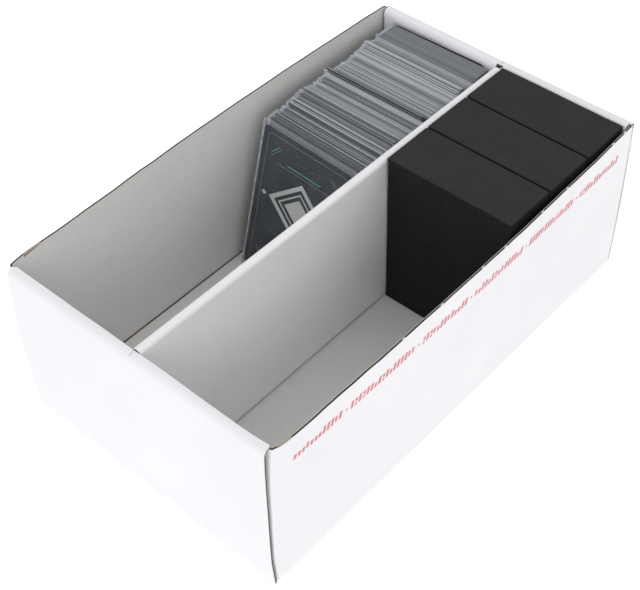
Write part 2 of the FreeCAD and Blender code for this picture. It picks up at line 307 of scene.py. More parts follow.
class Build:
    def __init__(self, name, body, nodes, slot, mats):
        self.name, self.body, self.nodes, self.slot = name, body, nodes, slot
        self.mats = mats
        self.v, self.f, self.m = [], [], []
        self.n = 0
        self.tone = []

    def verts(self, a, tone=1.0):
        a = np.asarray(a, float).reshape(-1, 3)
        i = self.n
        self.v.append(a)
        self.tone.append(np.broadcast_to(np.asarray(tone, float), (len(a),)).copy())
        self.n += len(a)
        return i

    def faces(self, q, mat):
        q = np.asarray(q, int)
        if len(q) == 0:
            return
        self.f.append(q)
        m = self.mats.index(mat) if not isinstance(mat, np.ndarray) else mat
        self.m.append(np.broadcast_to(np.asarray(m), (len(q),)).copy())

    def slab(self, S, us, vs, d0, d1, m0, m1, me, keep=None, tone=1.0, uclose=False):
        """Closed sheet between depth d0 and d1 of the surface S(u, v, d)."""
        us, vs = np.asarray(us, float), np.asarray(vs, float)
        nu, nv = len(us), len(vs)
        U, Vv = np.meshgrid(us, vs, indexing="ij")
        A, B = S(U, Vv, d0), S(U, Vv, d1)
        a0, b0 = self.verts(A, tone), self.verts(B, tone)
        idx = np.arange(nu * nv).reshape(nu, nv)
        K = np.ones((nu - 1, nv - 1), bool)
        if keep is not None:
            uc, vc = (us[:-1] + us[1:]) / 2, (vs[:-1] + vs[1:]) / 2
            UC, VC = np.meshgrid(uc, vc, indexing="ij")
            K = np.asarray(keep(UC, VC), bool)
        q = np.stack([idx[:-1, :-1], idx[1:, :-1], idx[1:, 1:], idx[:-1, 1:]], -1)
        qk = q[K]
        self.faces(qk + a0, m0)
        self.faces(qk[:, ::-1] + b0, m1)
        P = np.zeros((nu + 1, nv + 1), bool)
        P[1:-1, 1:-1] = K
        walls = []
        for di, dj, p, r in ((-1, 0, 0, 3), (1, 0, 1, 2), (0, -1, 0, 1), (0, 1, 3, 2)):
            nb = P[1 + di: nu + di, 1 + dj: nv + dj]
            e = q[K & ~nb]
            walls.append(np.stack([e[:, p] + a0, e[:, r] + a0, e[:, r] + b0, e[:, p] + b0], -1))
        self.faces(np.concatenate(walls), me)

    def prism(self, outline, bottom, top, mat_side, mat_top=None, mat_bottom=None, tone=1.0):
        """Closed prism between two matching loops of 3-D points."""
        n = len(outline)
        a = self.verts(bottom, tone)
        b = self.verts(top, tone)
        q = [[a + i, a + (i + 1) % n, b + (i + 1) % n, b + i] for i in range(n)]
        self.faces(q, mat_side)
        self._ngon(list(range(b, b + n)), mat_top or mat_side)
        self._ngon(list(range(a, a + n))[::-1], mat_bottom or mat_side)

    def _ngon(self, ids, mat):
        self.__dict__.setdefault("ng", []).append((ids, self.mats.index(mat)))

    def make(self, angle=38.0, weld=0.0004, replace=True):
        co = (np.concatenate(self.v) + np.array([0.0, DATUM_Y, 0.0])) * MM
        me = bpy.data.meshes.new(self.name)
        faces = [tuple(map(int, r)) for q in self.f for r in q]
        mats = [int(x) for m in self.m for x in m]
        for ids, m in self.__dict__.get("ng", []):
            faces.append(tuple(ids))
            mats.append(m)
        me.from_pydata(co.tolist(), [], faces)
        for m in self.mats:
            me.materials.append(m)
        me.polygons.foreach_set("material_index", mats)
        at = me.attributes.new("tone", "FLOAT", "POINT")
        at.data.foreach_set("value", np.concatenate(self.tone).astype(np.float32))
        bm = bmesh.new()
        bm.from_mesh(me)
        loose = [v for v in bm.verts if not v.link_faces]
        bmesh.ops.delete(bm, geom=loose, context="VERTS")
        if weld:
            bmesh.ops.remove_doubles(bm, verts=bm.verts, dist=weld * MM)
        bmesh.ops.recalc_face_normals(bm, faces=bm.faces)
        bm.to_mesh(me)
        bm.free()
        me.polygons.foreach_set("use_smooth", [True] * len(me.polygons))
        me.set_sharp_from_angle(angle=math.radians(angle))
        me.update()
        ob = bpy.data.objects.new(self.name, me)
        scene.collection.objects.link(ob)
        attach(ob, self.body)
        if replace:
            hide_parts(*self.nodes)
        return ob


def curve(xs, ys):
    """Smooth monotone-ish interpolation through measured points."""
    xs, ys = np.asarray(xs, float), np.asarray(ys, float)
    o = np.argsort(xs)
    xs, ys = xs[o], ys[o]
    d = np.diff(ys) / np.diff(xs)
    m = np.zeros_like(ys)
    m[0], m[-1] = d[0], d[-1]
    for i in range(1, len(ys) - 1):
        if d[i - 1] * d[i] <= 0:
            m[i] = 0
        else:
            w1 = 2 * (xs[i + 1] - xs[i]) + (xs[i] - xs[i - 1])
            w2 = (xs[i + 1] - xs[i]) + 2 * (xs[i] - xs[i - 1])
            m[i] = (w1 + w2) / (w1 / d[i - 1] + w2 / d[i])

    def f(x):
        x = np.asarray(x, float)
        xc = np.clip(x, xs[0], xs[-1])
        i = np.clip(np.searchsorted(xs, xc) - 1, 0, len(xs) - 2)
        h = xs[i + 1] - xs[i]
        t = (xc - xs[i]) / h
        return ((2 * t ** 3 - 3 * t ** 2 + 1) * ys[i] + (t ** 3 - 2 * t ** 2 + t) * h * m[i]
                + (-2 * t ** 3 + 3 * t ** 2) * ys[i + 1] + (t ** 3 - t ** 2) * h * m[i + 1])
    return f


def wander(seed, step, lo, hi, amp):
    """Slow seeded noise along a line."""
    rs = np.random.RandomState(seed)
    xs = np.arange(lo - step, hi + 2 * step, step)
    return curve(xs, rs.uniform(-amp, amp, len(xs)))


def sstep(x, a, b):
    t = np.clip((x - a) / (b - a), 0, 1)
    return t * t * (3 - 2 * t)


# ---------------------------------------------------------------------------
# Corrugated board: outer liner, recessed fluting, inner liner
# ---------------------------------------------------------------------------
T = 1.6
LO, LI = 0.30, 0.90      # depth where the fluting channel begins and ends


def lines(a, b, step, *extra):
    n = max(2, int(round(abs(b - a) / step)) + 1)
    x = np.concatenate([np.linspace(a, b, n), np.array(extra, float)])
    x = np.unique(np.round(x, 5))
    x = x[(x >= min(a, b) - 1e-9) & (x <= max(a, b) + 1e-9)]
    keepers = [x[0]]
    ex = set(np.round(np.array(list(extra) + [a, b], float), 5))
    for t in x[1:]:
        if t - keepers[-1] < step * 0.12:
            if t in ex and keepers[-1] not in ex:
                keepers[-1] = t
            elif t in ex:
                keepers.append(t)
            continue
        keepers.append(t)
    return np.array(keepers)


def board(b, S, us, vs, out, inn, keep=None, core=None, edge_out=None, edge_in=None, t=T, li=LI, tone=1.0, fl=KRAFT_AND_SHADE):
    b.slab(S, us, vs, 0.0, LO, out, fl, edge_out or EDGE_WHITE, keep, tone=tone)
    b.slab(S, us, vs, li, t, fl, inn, edge_in or EDGE_GREY, keep)
    if core is not None:
        both = core if keep is None else (lambda U, V: core(U, V) & keep(U, V))
        b.slab(S, us, vs, LO + 0.01, li - 0.01, fl, fl, fl, both)


def strip(b, S, us, fv, depth, thick, rec, reach, sign=1.0, along="u", mat=KRAFT_AND_SHADE):
    """Fluting seen in a raw edge: a thin closed ribbon that wanders between the liners."""
    us = np.asarray(us, float)

    def R(U, W, d):
        top = fv(U) - sign * rec(U)
        other = top - sign * reach * W
        dd = depth(U) + (d - 0.5) * thick(U)
        return S(U, other, dd) if along == "u" else S(other, U, dd)
    b.slab(R, us, np.array([0.0, 0.3, 1.0]), 0.0, 1.0, mat, mat, mat)


# ---------------------------------------------------------------------------
# Side walls
# ---------------------------------------------------------------------------
RIM = 98.2
rim_x = {
    1: curve([-139, -136.5, -134.3, -131.3, -121.7, -112.8, -88.1, -65.2, -34, -4.4, 33, 62, 98, 126, 136, 140.3],
             [82.3, 82.4, 82.9, 84.0, 84.8, 84.95, 85.1, 85.45, 85.55, 85.6, 85.3, 84.6, 83.9, 83.0, 82.6, 82.5]),
    -1: curve([-139, -135.1, -126.2, -104.7, -75, -47.8, -1.8, 45, 92.8, 120, 134, 140.3],
              [83.0, 83.3, 84.3, 84.8, 85.5, 86.3, 87.0, 86.8, 85.7, 84.5, 83.6, 83.2]),
}
fold_y = {   # where the corner creases run, by height: (near, far)
    1: (curve([0, 20, 36, 52, 66, 81, 90, 98.2], [-136.1, -136.8, -136.7, -136.5, -136.4, -136.0, -135.6, -135.0]),
        curve([0, 25, 50, 75, 90, 98.2], [138.3, 139.4, 139.7, 139.3, 138.7, 138.0])),
    -1: (curve([0, 30, 55, 76, 90, 98.2], [-135.8, -137.2, -137.5, -137.1, -136.3, -135.4]),
         curve([0, 25, 50, 75, 90, 98.2], [138.3, 139.5, 139.7, 139.3, 138.7, 138.0])),
}
FOLD_R = 1.05


def side_surface(side):
    rim_z = wander(11 + side, 9.0, -140, 140, 0.16)
    rim_z2 = wander(21 + side, 2.3, -140, 140, 0.05)
    dent = wander(31 + side, 24.0, -140, 140, 0.28)

    def xout(Y, z):
        f = np.clip(z / RIM, 0, 1)
        bow = rim_x[side](Y) - 82.0
        # the flare close to a corner dies out quickly below the rim
        near = sstep(np.abs(Y), 124.0, 137.0)
        p = 1.12 + 1.6 * near
        return 82.0 + bow * f ** p + dent(Y) * f * (1 - f) * 1.6 * (1 - near)

    def S(U, Vv, d):
        """U in mm along the developed wall (folds at +-200), Vv height in mm, d depth."""
        U, Vv, d = np.broadcast_arrays(np.asarray(U, float), np.asarray(Vv, float), np.asarray(d, float))
        z = np.clip(Vv, 0, None)
        yn, yf = fold_y[side][0](z), fold_y[side][1](z)
        # three spans: near fold u in [-204,-200] stub, [-200,-198] arc, straight, arc, stub
        a = np.clip((np.abs(U) - 198.0) / 2.0, 0, 1)          # 0 at wall, 1 at end of arc
        stub = np.clip(np.abs(U) - 200.0, 0, None)
        sg = np.sign(U)
        yc = np.where(U < 0, yn, yf)
        straight_lo, straight_hi = yn + FOLD_R, yf - FOLD_R
        ys = straight_lo + (np.clip(U, -198, 198) + 198.0) / 396.0 * (straight_hi - straight_lo)
        xw = xout(ys, z)
        th = a * np.pi / 2
        xo = xw - FOLD_R + FOLD_R * np.cos(th) - stub
        yo = ys + sg * FOLD_R * np.sin(th)
        ri = 0.28
        xi = xw - T - ri + ri * np.cos(th) - np.clip(stub - (T + ri - FOLD_R), 0, None) * (a >= 1)
        iy = straight_lo + (np.clip(U, -198, 198) + 198.0) / 396.0 * (straight_hi - straight_lo)
        inner_lo, inner_hi = yn + T + ri, yf - T - ri
        iy = np.clip(iy, inner_lo, inner_hi)
        yi = iy + sg * ri * np.sin(th)
        f = d / T * (1 - 0.20 * sstep(Vv, 91.0, 97.4))      # the die crushes the rim a little
        x, y = xo * (1 - f) + xi * f, yo * (1 - f) + yi * f
        # rounded foot under the wall
        foot = np.clip(-Vv, 0, 3.0)                            # Vv below zero walks under the floor
        live = 1 - a
        r2 = 1.15
        arc = np.clip(foot / 1.6, 0, 1) * np.pi / 2
        flat = np.clip(foot - 1.6, 0, None)
        zo = np.where(Vv < 0, r2 - r2 * np.sin(arc), np.clip(Vv, 0, None) + r2 * (1 - np.clip(Vv / 12.0, 0, 1)))
        zi = np.where(Vv < 0, 0.62, np.maximum(np.clip(Vv, 0, None) + r2 * (1 - np.clip(Vv / 12.0, 0, 1)), 0.62))
        inset_o = (r2 - r2 * np.cos(arc) + flat) * np.where(live > 0, 1.0, 0.55)
        inset_i = flat * 0.55
        inset = inset_o * (1 - f) + inset_i * f
        x = x - inset * (1 - 0.5 * a)
        y = y - sg * inset * a * 0.8
        zz = zo * (1 - f) + zi * f
        top = np.clip((Vv - 60.0) / 38.2, 0, 1)
        drop = 1.1 * np.clip(stub / 4.0, 0, 1) + 0.35 * a
        drop = drop - 0.7 * sstep(ys, 96.0, 137.0) - (0.35 * sstep(-ys, 96.0, 132.0) if side < 0 else 0.0)
        zz = zz + top ** 3 * (rim_z(ys) + rim_z2(ys) - drop)
        return np.stack([side * x, y, zz], -1)
    return S


def u_of_y(y):
    """Developed coordinate of a wall point at height near the rim."""
    return (y + 134.1) / 271.0 * 396.0 - 198.0


SIDES = {}


def side_wall(side, name):
    S = side_surface(side)
    SIDES[side] = S
    b = Build(name, "tray", [name], "tray_board",
              [WHITE_Z, GREY_Z, EDGE_WHITE, EDGE_GREY, KRAFT_AND_SHADE, DARK, TAN, CREASE_SHADE, OLIVE])
    arc = [198.0, 198.4, 198.8, 199.2, 199.6, 200.0, 200.8, 202.2, 203.6]
    us = np.concatenate([-np.array(arc)[::-1], lines(-198, 198, 3.4)[1:-1], np.array(arc)])
    vs = np.array([-2.5, -1.6, -1.2, -0.8, -0.4, 0.0, 0.6, 1.25, 2.2, 3.4, 6, 10, 16, 23, 31, 39, 47, 55, 62, 69, 75,
                   80.5, 85, 88.5, 91.5, 93.6, 95.2, 96.4, 97.3, 97.9, RIM])
    # the rows of the inner face below 0.6 mm are painted dark as the shade in the crease against the floor
    row = np.where((vs[:-1] + vs[1:]) / 2 < 0.6, b.mats.index(CREASE_SHADE), b.mats.index(GREY_Z))
    board(b, S, us, vs, WHITE_Z, np.tile(row, len(us) - 1), li=1.22, fl=DARK,
          core=lambda U, V: (V < 93.4) & (V > 0.5) & (np.abs(U) < 201.5))
    fine = np.concatenate([-np.array(arc)[::-1], lines(-198, 198, 1.5)[1:-1], np.array(arc)])
    ph = wander(41 + side, 26.0, -210, 210, 2.4)
    lift = wander(51 + side, 13.0, -210, 210, 1.0)
    if side > 0:
        t0, t1 = -195.5, -183.0
    else:
        t0, t1 = -187.0, -170.0
    depth = lambda U: 0.76 + 0.24 * np.sin(ph(U) * 2.0)
    thick = lambda U: 0.17 + 0 * U
    rec = lambda U: np.clip(1.5 + 1.0 * lift(U), 0.5, 2.6)
    strip(b, S, fine, lambda U: RIM + 0 * U, depth, thick, rec, 2.4, mat=DARK)
    if side < 0:
        # the grey liner is torn down here and shows the fluting
        ww = lambda U: np.clip((-170.0 - U) / 17.0, 0.02, 1.0) ** 0.8 * 1.3

        def W_(U, V, d):
            return S(U, RIM + 0.05 - (1 - V) * ww(U), T + 0.01 + d)
        b.slab(W_, np.linspace(-187.0, -170.0, 19), np.array([0.0, 0.5, 1.0]), 0.0, 0.07, OLIVE, OLIVE, OLIVE)
    # torn stretch where the fluting has come up between the liners
    tt = np.linspace(t0, t1, 24)
    w = lambda U: np.sin(np.pi * np.clip((U - t0) / (t1 - t0), 0, 1)) ** 0.5
    strip(b, S, tt, lambda U: RIM + 0 * U, lambda U: 0.76 + 0.05 * np.sin(U * 1.7), lambda U: 0.25 + 0.62 * w(U),
          lambda U: 0.10 + 0.5 * (1 - w(U)) - 0.35 * w(U), 2.2, mat=TAN)
    # small burrs where the cutting rule was nicked
    rs = np.random.RandomState(7 + side)
    nicks = [130.6, 119.3, 76.9, 55.2, 24.1, 6.2, -24.6, -52.0] if side > 0 else []
    for y in nicks:
        u0 = u_of_y(y)
        w = 0.9 + 0.5 * rs.rand()
        h = 0.30 + 0.30 * rs.rand()
        uu = np.linspace(u0 - w, u0 + w, 7)

        def Q(U, W, d, u0=u0, w=w, h=h):
            e = 1 - np.abs((U - u0) / w) ** 2
            return S(U, RIM - 0.8 + W * (0.8 + 0.6 * h * np.clip(e, 0, 1)), 0.12 + d * (1.05 - 0.25 * W))
        b.slab(Q, uu, np.array([0.0, 0.6, 1.0]), 0.0, 1.0, EDGE_WHITE, EDGE_WHITE, EDGE_WHITE)
    return b.make()


side_wall(1, "right_side_wall")
side_wall(-1, "left_side_wall")


# ---------------------------------------------------------------------------
# End walls: outer panel, roll-over top and inner panel follow one profile
# ---------------------------------------------------------------------------
ROLL_Z = 95.0
END_HALF = 81.55
END_SPAN = {"front": (-81.55, 80.85), "rear": (-81.55, 81.55)}
IN_HALF = 80.1
prof = {   # outer face distance from the datum by height: left edge, right edge
    "front": (curve([0, 15, 30, 44, 55, 69, 76, 83, 89, 95], [137.3, 138.5, 139.25, 139.75, 139.85, 139.7, 139.45, 139.1, 138.8, 138.3]),
              curve([0, 10, 20, 36, 52, 66, 81, 95], [138.5, 138.7, 138.75, 138.75, 138.65, 138.6, 138.45, 138.05])),
    "rear": (curve([0, 20, 50, 75, 95], [139.9, 141.3, 142.0, 141.7, 140.9]),
             curve([0, 20, 50, 75, 95], [139.9, 141.2, 141.9, 141.6, 140.9])),
}
INNER_Y = {"front": 132.8, "rear": 133.9}


class Bend:
    """A quarter bend made of arcs: the surface turns fast at the crest and slowly below it."""

    def __init__(self, parts):
        ph, rr = [0.0], []
        for deg, r in parts:
            n = max(4, int(deg / 3))
            for k in range(n):
                ph.append(ph[-1] + deg / n)
                rr.append(r)
        ph = np.radians(ph)
        ds = np.array(rr) * np.diff(ph)
        mid = (ph[1:] + ph[:-1]) / 2
        self.s = np.concatenate([[0], np.cumsum(ds)])
        self.d = np.concatenate([[0], np.cumsum(ds * np.sin(mid))])      # depth below the crest
        out = np.concatenate([[0], np.cumsum(ds * np.cos(mid))])
        self.a, self.b = out[-1], self.d[-1]
        self.h = self.a - out                                            # distance in from the upright face
        self.ph = ph

    def depth(self, d, k):
        q = np.clip(d / k, 0, self.b)
        return k * np.interp(q, self.d, self.h), np.interp(q, self.d, self.ph)

    def at(self, s, k):
        q = np.clip(s / k, 0, self.s[-1])
        return k * np.interp(q, self.s, self.h), k * np.interp(q, self.s, self.d), np.interp(q, self.s, self.ph)

    def s_of(self, d, k):
        return k * np.interp(np.clip(d / k, 0, self.b), self.d, self.s)


OUTER_BEND = {"front": Bend([(58, 3.35), (32, 6.6)]), "rear": Bend([(50, 2.3), (40, 4.2)])}
INNER_BEND = {"front": Bend([(90, 0.75)]), "rear": Bend([(48, 1.9), (42, 4.0)])}
# how far the top of the near inner panel is pulled outwards by the roll, across the tray
PULL = curve([-81, -70.8, -50, -36, -16.6, 9, 40, 57.6, 69, 78, 81], [0.4, 0.7, 0.8, 1.05, 1.0, 1.1, 1.25, 1.28, 1.12, 0.5, 0.3])


def end_surface(end):
    sg = -1.0 if end == "front" else 1.0
    PL, PR = prof[end]
    seed = 100 if end == "front" else 140
    hump = wander(seed, 26.0, -90, 90, 0.35)
    topw = wander(seed + 1, 17.0, -90, 90, 0.10)
    lip = wander(seed + 2, 21.0, -90, 90, 0.14)
    inw = wander(seed + 3, 30.0, -90, 90, 0.30)
    BO, BI = OUTER_BEND[end], INNER_BEND[end]
    x0, x1 = END_SPAN[end]
    rise = 0.0 if end == "front" else 0.95

    def yo(X, z):
        w = np.clip((X - x0) / (x1 - x0), 0, 1)
        base = PL(z) * (1 - w) + PR(z) * w
        f = np.clip(z / 95.0, 0, 1)
        return base + hump(X) * np.sin(np.pi * f) * np.cos(np.pi * X / 2 / 90.0)

    def yi(X, z):
        f = np.clip(z / 95.0, 0, 1)
        pull = PULL(X) * f ** 4 if end == "front" else 0.0
        return INNER_Y[end] - 0.45 * (1 - (X / IN_HALF) ** 2) * f + lip(X) * f + 0.35 * inw(X) * np.sin(np.pi * f) + pull

    def point(X, W):
        """W in mm along the profile: 0..95 up the outer panel (W is z), 95..100 outer bend,
        100..101 flat, 101..106 inner bend, 106..200 down the inner panel."""
        X, W = np.broadcast_arrays(np.asarray(X, float), np.asarray(W, float))
        top = RIM + topw(X) + rise
        k = 1.0 - 0.22 * sstep(np.abs(X), 44.0, 80.0)
        # outer panel, which leans into the bend near its top
        zA = np.clip(W, 0, 95.0)
        foot = 1 - np.clip(W / 1.3, 0, 1)
        hA, phA = BO.depth(top - zA, k)
        yA = yo(X, zA) - hA - (1 - np.sqrt(np.clip(1 - foot ** 2, 0, 1))) * 0.8
        # outer bend
        sB = BO.s_of(top - 95.0, k) * np.clip((100.0 - W) / 5.0, 0, 1)
        hB, dB, phB = BO.at(sB, k)
        y95 = yo(X, np.full_like(X, 95.0))
        # when the bend ends above z = 95 the rest is upright
        short = np.clip(top - 95.0 - k * BO.b, 0, None)
        zB = np.maximum(top - dB - short * sstep(95.9 - W, 0.0, 0.9), 95.0)
        yB = y95 - hB
        # inner bend
        y95i = yi(X, np.full_like(X, 95.0))
        sC = BI.s[-1] * np.clip((W - 101.0) / 4.3, 0, 1)
        hC, dC, phC = BI.at(sC, 1.0)
        upright = np.clip((W - 105.3) / 0.7, 0, 1)
        zC0 = top - dC
        zC = zC0 - np.clip(zC0 - 95.0, 0, None) * upright
        zC = np.maximum(zC, 95.0)
        yC = y95i + hC
        # inner panel
        zD = 95.0 - np.clip(W - 106.0, 0, 94.0) * (95.0 - 1.75) / 94.0
        yD = yi(X, zD)
        m1, m2, m3 = W <= 95.0, W <= 100.0, W < 101.0
        crown = 0.06 * np.sin(np.pi * np.clip(W - 100.0, 0, 1))
        z = np.where(m1, zA, np.where(m2, zB, np.where(m3, top, np.where(W <= 106.0, zC, zD)))) + crown
        yFo, yFi = y95 - k * BO.a, y95i + BI.a
        yF = yFo + (yFi - yFo) * np.clip(W - 100.0, 0, 1)
        y = np.where(m1, yA, np.where(m2, yB, np.where(m3, yF, np.where(W <= 106.0, yC, yD))))
        # turn of the surface: 0 upright outer face, pi/2 crest, pi upright inner face
        ang = np.where(m1, np.pi / 2 - phA, np.where(m2, np.pi / 2 - phB, np.where(m3, np.pi / 2, np.pi / 2 + phC)))
        ang = np.where(W > 106.0, np.pi, ang)
        ang = ang + np.where(W < 1.3, -foot * 0.9, 0.0)
        return y, z, -np.cos(ang), -np.sin(ang), np.where((W > 101.0) & (W < 105.3), 1.0, 0.0)

    def S(U, Vv, d):
        U, Vv, d = np.broadcast_arrays(np.asarray(U, float), np.asarray(Vv, float), np.asarray(d, float))
        y, z, ny, nz, tight = point(U, Vv)
        dd = d / T * (T * 0.94)
        dd = np.where(tight > 0.5, np.minimum(dd, 1.2 if end == "front" else 1.6), dd)
        # the right foot of the near panel stands a little proud of the corner
        flare = 1.25 * sstep(U, 62.0, 80.85) * (1 - sstep(Vv, 0.0, 22.0)) if end == "front" else 0.0
        return np.stack([U + flare, sg * (y + ny * dd), z + nz * dd], -1)
    return S


SLIT = {"front": (-0.66, -0.40), "rear": (-0.30, -0.06)}
SLIT_V = {"front": (97.2, 101.0), "rear": (99.0, 101.0)}


def end_wall(end):
    S = end_surface(end)
    near = end == "front"
    tag = end
    # ---- outer panel ----
    b = Build(tag + "_outer_panel", "tray", [tag + "_outer_panel"], "end_wall_board",
              [WHITE_X, GREY_X, EDGE_WHITE, EDGE_MID_SHADED, KRAFT_AND_SHADE, EDGE_PALE])
    eL, eR = END_SPAN[end]
    us = lines(eL, eR, 3.3, eL + 2.6, eR - 2.6, eL + 0.3, eR - 0.3)
    vs = np.concatenate([[0, 0.1, 0.3, 0.6, 0.95, 1.3, 3.0], lines(5, 89.0, 3.0), lines(89.8, 95.0, 0.8)])
    core = (lambda U, V: (U > eL + 2.6) & (U < eR - 2.6)) if near else (lambda U, V: (U > eL + 0.3) & (U < eR - 0.3))
    # the near panel's inner liner edge takes the darker grey with painted shade
    board(b, S, us, vs, WHITE_X, GREY_X, core=core,
          edge_out=EDGE_WHITE, edge_in=EDGE_MID_SHADED if near else EDGE_PALE, fl=KRAFT_AND_SHADE if near else EDGE_PALE)
    fine = lines(0.4, 95.0, 1.3)
    for s_, seed in ((1, 61), (-1, 71)):
        ph = wander(seed + (0 if near else 5), 19.0, -5, 110, 2.2)
        lf = wander(seed + 2, 9.0, -5, 110, 1.0)
        strip(b, S, fine, lambda U, s_=s_: (eR if s_ > 0 else eL) + 0 * U,
              lambda U, ph=ph: 0.60 + 0.16 * np.sin(ph(U) * 2.0), lambda U: 0.16 + 0 * U,
              lambda U, lf=lf: np.clip(0.9 + 0.5 * lf(U), 0.4, 1.5), 3.0, sign=s_, along="v",
              mat=KRAFT_AND_SHADE if near else EDGE_PALE)
    b.make()
    # ---- roll ----
    b = Build(tag + "_roll_top", "tray", [tag + "_roll_top"], "end_wall_board",
              [WHITE_X, GREY_X, EDGE_WHITE, EDGE_GREY, KRAFT_AND_SHADE])
    sl0, sl1 = SLIT[end]
    sv0, sv1 = SLIT_V[end]
    # the rolls are closed over the divider's tabs but for a slit; the notch begins in the inner bend
    n0, n1 = (-1.0, 1.0) if near else (-2.0, 2.1)
    nv = 102.6 if near else 101.5
    us = lines(eL, eR, 3.3, n0, n1, sl0, sl1, -80.3, 80.3,
               -80.3 + 2.4, 80.3 - 2.4, eL + 2.4, eR - 2.4)
    vs = np.unique(np.round(np.concatenate([np.linspace(95.0, 100.0, 17), [97.2, 99.0], [100.25, 100.55, 100.75],
                                            np.linspace(101.0, 105.3, 13), [101.5, 102.6, 105.65, 106.0]]), 4))

    def keep(U, V):
        wide = (np.abs(U) < 80.3) | (V < 100.55)
        notch = (U > n0) & (U < n1) & (V > nv)
        slit = (U > sl0) & (U < sl1) & (V > sv0) & (V < sv1)
        return wide & ~notch & ~slit
    tone = 1.0
    # painted highlight: a raised tone along the near roll's inner bend, which the coat turns into a whiter line
    if near:
        tone = np.tile(1.0 + 1.4 * np.exp(-((vs - 101.25) / 0.8) ** 2), len(us))
    board(b, S, us, vs, WHITE_X, GREY_X, keep, tone=tone,
          core=lambda U, V: (np.abs(U) < 80.3 - 2.4) & (U < eR - 2.4) & ~((np.abs(U) < 2.9) & (V > nv - 1.6)))
    for s_, seed in ((1, 81), (-1, 91)):
        fv = np.concatenate([lines(95.0, 100.5, 0.5)])
        strip(b, S, fv, lambda U, s_=s_: (eR if s_ > 0 else eL) + 0 * U, lambda U: 0.56 + 0.1 * np.sin(U * 1.1),
              lambda U: 0.16 + 0 * U, lambda U: 0.7 + 0 * U, 2.4, sign=s_, along="v")
        fv = np.concatenate([lines(100.6, 106.0, 0.5)])
        strip(b, S, fv, lambda U, s_=s_: s_ * 80.3 + 0 * U, lambda U: 0.58 + 0.1 * np.sin(U * 0.9 + 1),
              lambda U: 0.16 + 0 * U, lambda U: 0.35 + 0 * U, 2.4, sign=s_, along="v")
    b.make()
    # ---- inner panel ----
    b = Build(tag + "_inner_panel", "tray", [tag + "_inner_panel"], "end_wall_board",
              [WHITE_X, GREY_X, EDGE_WHITE, EDGE_GREY, KRAFT_AND_SHADE])
    vslot = 106.0 + (95.0 - 62.0) / (95.0 - 1.75) * 94.0
    us = lines(-IN_HALF, IN_HALF, 3.3, -2.0, 2.0, -IN_HALF + 2.4, IN_HALF - 2.4)
    vs = lines(106.0, 200.0, 3.2, vslot, vslot + 1.2)

    def keep2(U, V):
        return ~((np.abs(U) < 2.0) & (V < vslot))
    board(b, S, us, vs, WHITE_X, GREY_X, keep2,
          core=lambda U, V: (np.abs(U) < IN_HALF - 2.4) & ~((np.abs(U) < 4.6) & (V < vslot + 1.2)))
    fv = lines(106.0, 200.0, 1.5)
    for s_, seed in ((1, 101), (-1, 111)):
        ph = wander(seed, 19.0, 90, 210, 2.2)
        strip(b, S, fv, lambda U, s_=s_: s_ * IN_HALF + 0 * U, lambda U, ph=ph: 0.60 + 0.14 * np.sin(ph(U) * 2),
              lambda U: 0.16 + 0 * U, lambda U: 0.4 + 0 * U, 2.4, sign=s_, along="v")
    b.make()
    # ---- corner flaps, tucked between the two panels ----
    sg = -1.0 if near else 1.0
    for side, sn in ((-1, "left"), (1, "right")):
        nm = "%s_%s_corner_flap" % (tag, sn)
        b = Build(nm, "tray", [nm], "end_wall_board", [WHITE_Z, GREY_Z, EDGE_WHITE, EDGE_GREY, KRAFT_AND_SHADE])
        fy = fold_y[side][0 if near else 1]

        def F(U, V, d, side=side, fy=fy):
            U, V, d = np.broadcast_arrays(np.asarray(U, float), np.asarray(V, float), np.asarray(d, float))
            z = 1.9 + V * 92.6
            x = 78.3 - U * 56.0
            # follows the crease at the corner, then lies flat against the inner panel
            lie = 136.15 + 0.6 * (z / 95.0) ** 4 if near else 137.5
            y0 = np.abs(fy(z)) * (1 - sstep(U, 0.0, 0.25)) + lie * sstep(U, 0.0, 0.25)
            return np.stack([side * x, sg * (y0 - 0.1 - d * 0.82), z], -1)
        us = np.linspace(0, 1, 29)
        vs = np.linspace(0, 1, 29)
        kp = lambda U, V: (V < 1 - 0.17 * np.clip((U - 0.72) / 0.28, 0, 1)) & (V > 0.06 * np.clip((U - 0.9) / 0.1, 0, 1))
        board(b, F, us, vs, WHITE_Z, GREY_Z, kp, core=lambda U, V: (U < 0.95) & (V < 0.96))
        b.make()
        nm = "%s_%s_locking_tab" % (tag, sn)
        b = Build(nm, "tray", [nm], "end_wall_board", [WHITE_X, GREY_X, EDGE_WHITE, EDGE_GREY, KRAFT_AND_SHADE])

        def L(U, V, d, side=side):
            U, V, d = np.broadcast_arrays(np.asarray(U, float), np.asarray(V, float), np.asarray(d, float))
            half = 12.0 - 1.2 * V ** 2
            z = 1.72 - V * 1.6
            y = INNER_Y[tag] + 0.05 + d * 0.94 + 0.25 * V * (d / T - 0.5) * -1.0
            return np.stack([side * 40.0 + U * half, sg * y, z], -1)
        board(b, L, np.linspace(-1, 1, 17), np.linspace(0, 1, 6), WHITE_X, GREY_X,
              core=lambda U, V: (V < 0.75) & (np.abs(U) < 0.9))
        b.make()


end_wall("front")
end_wall("rear")


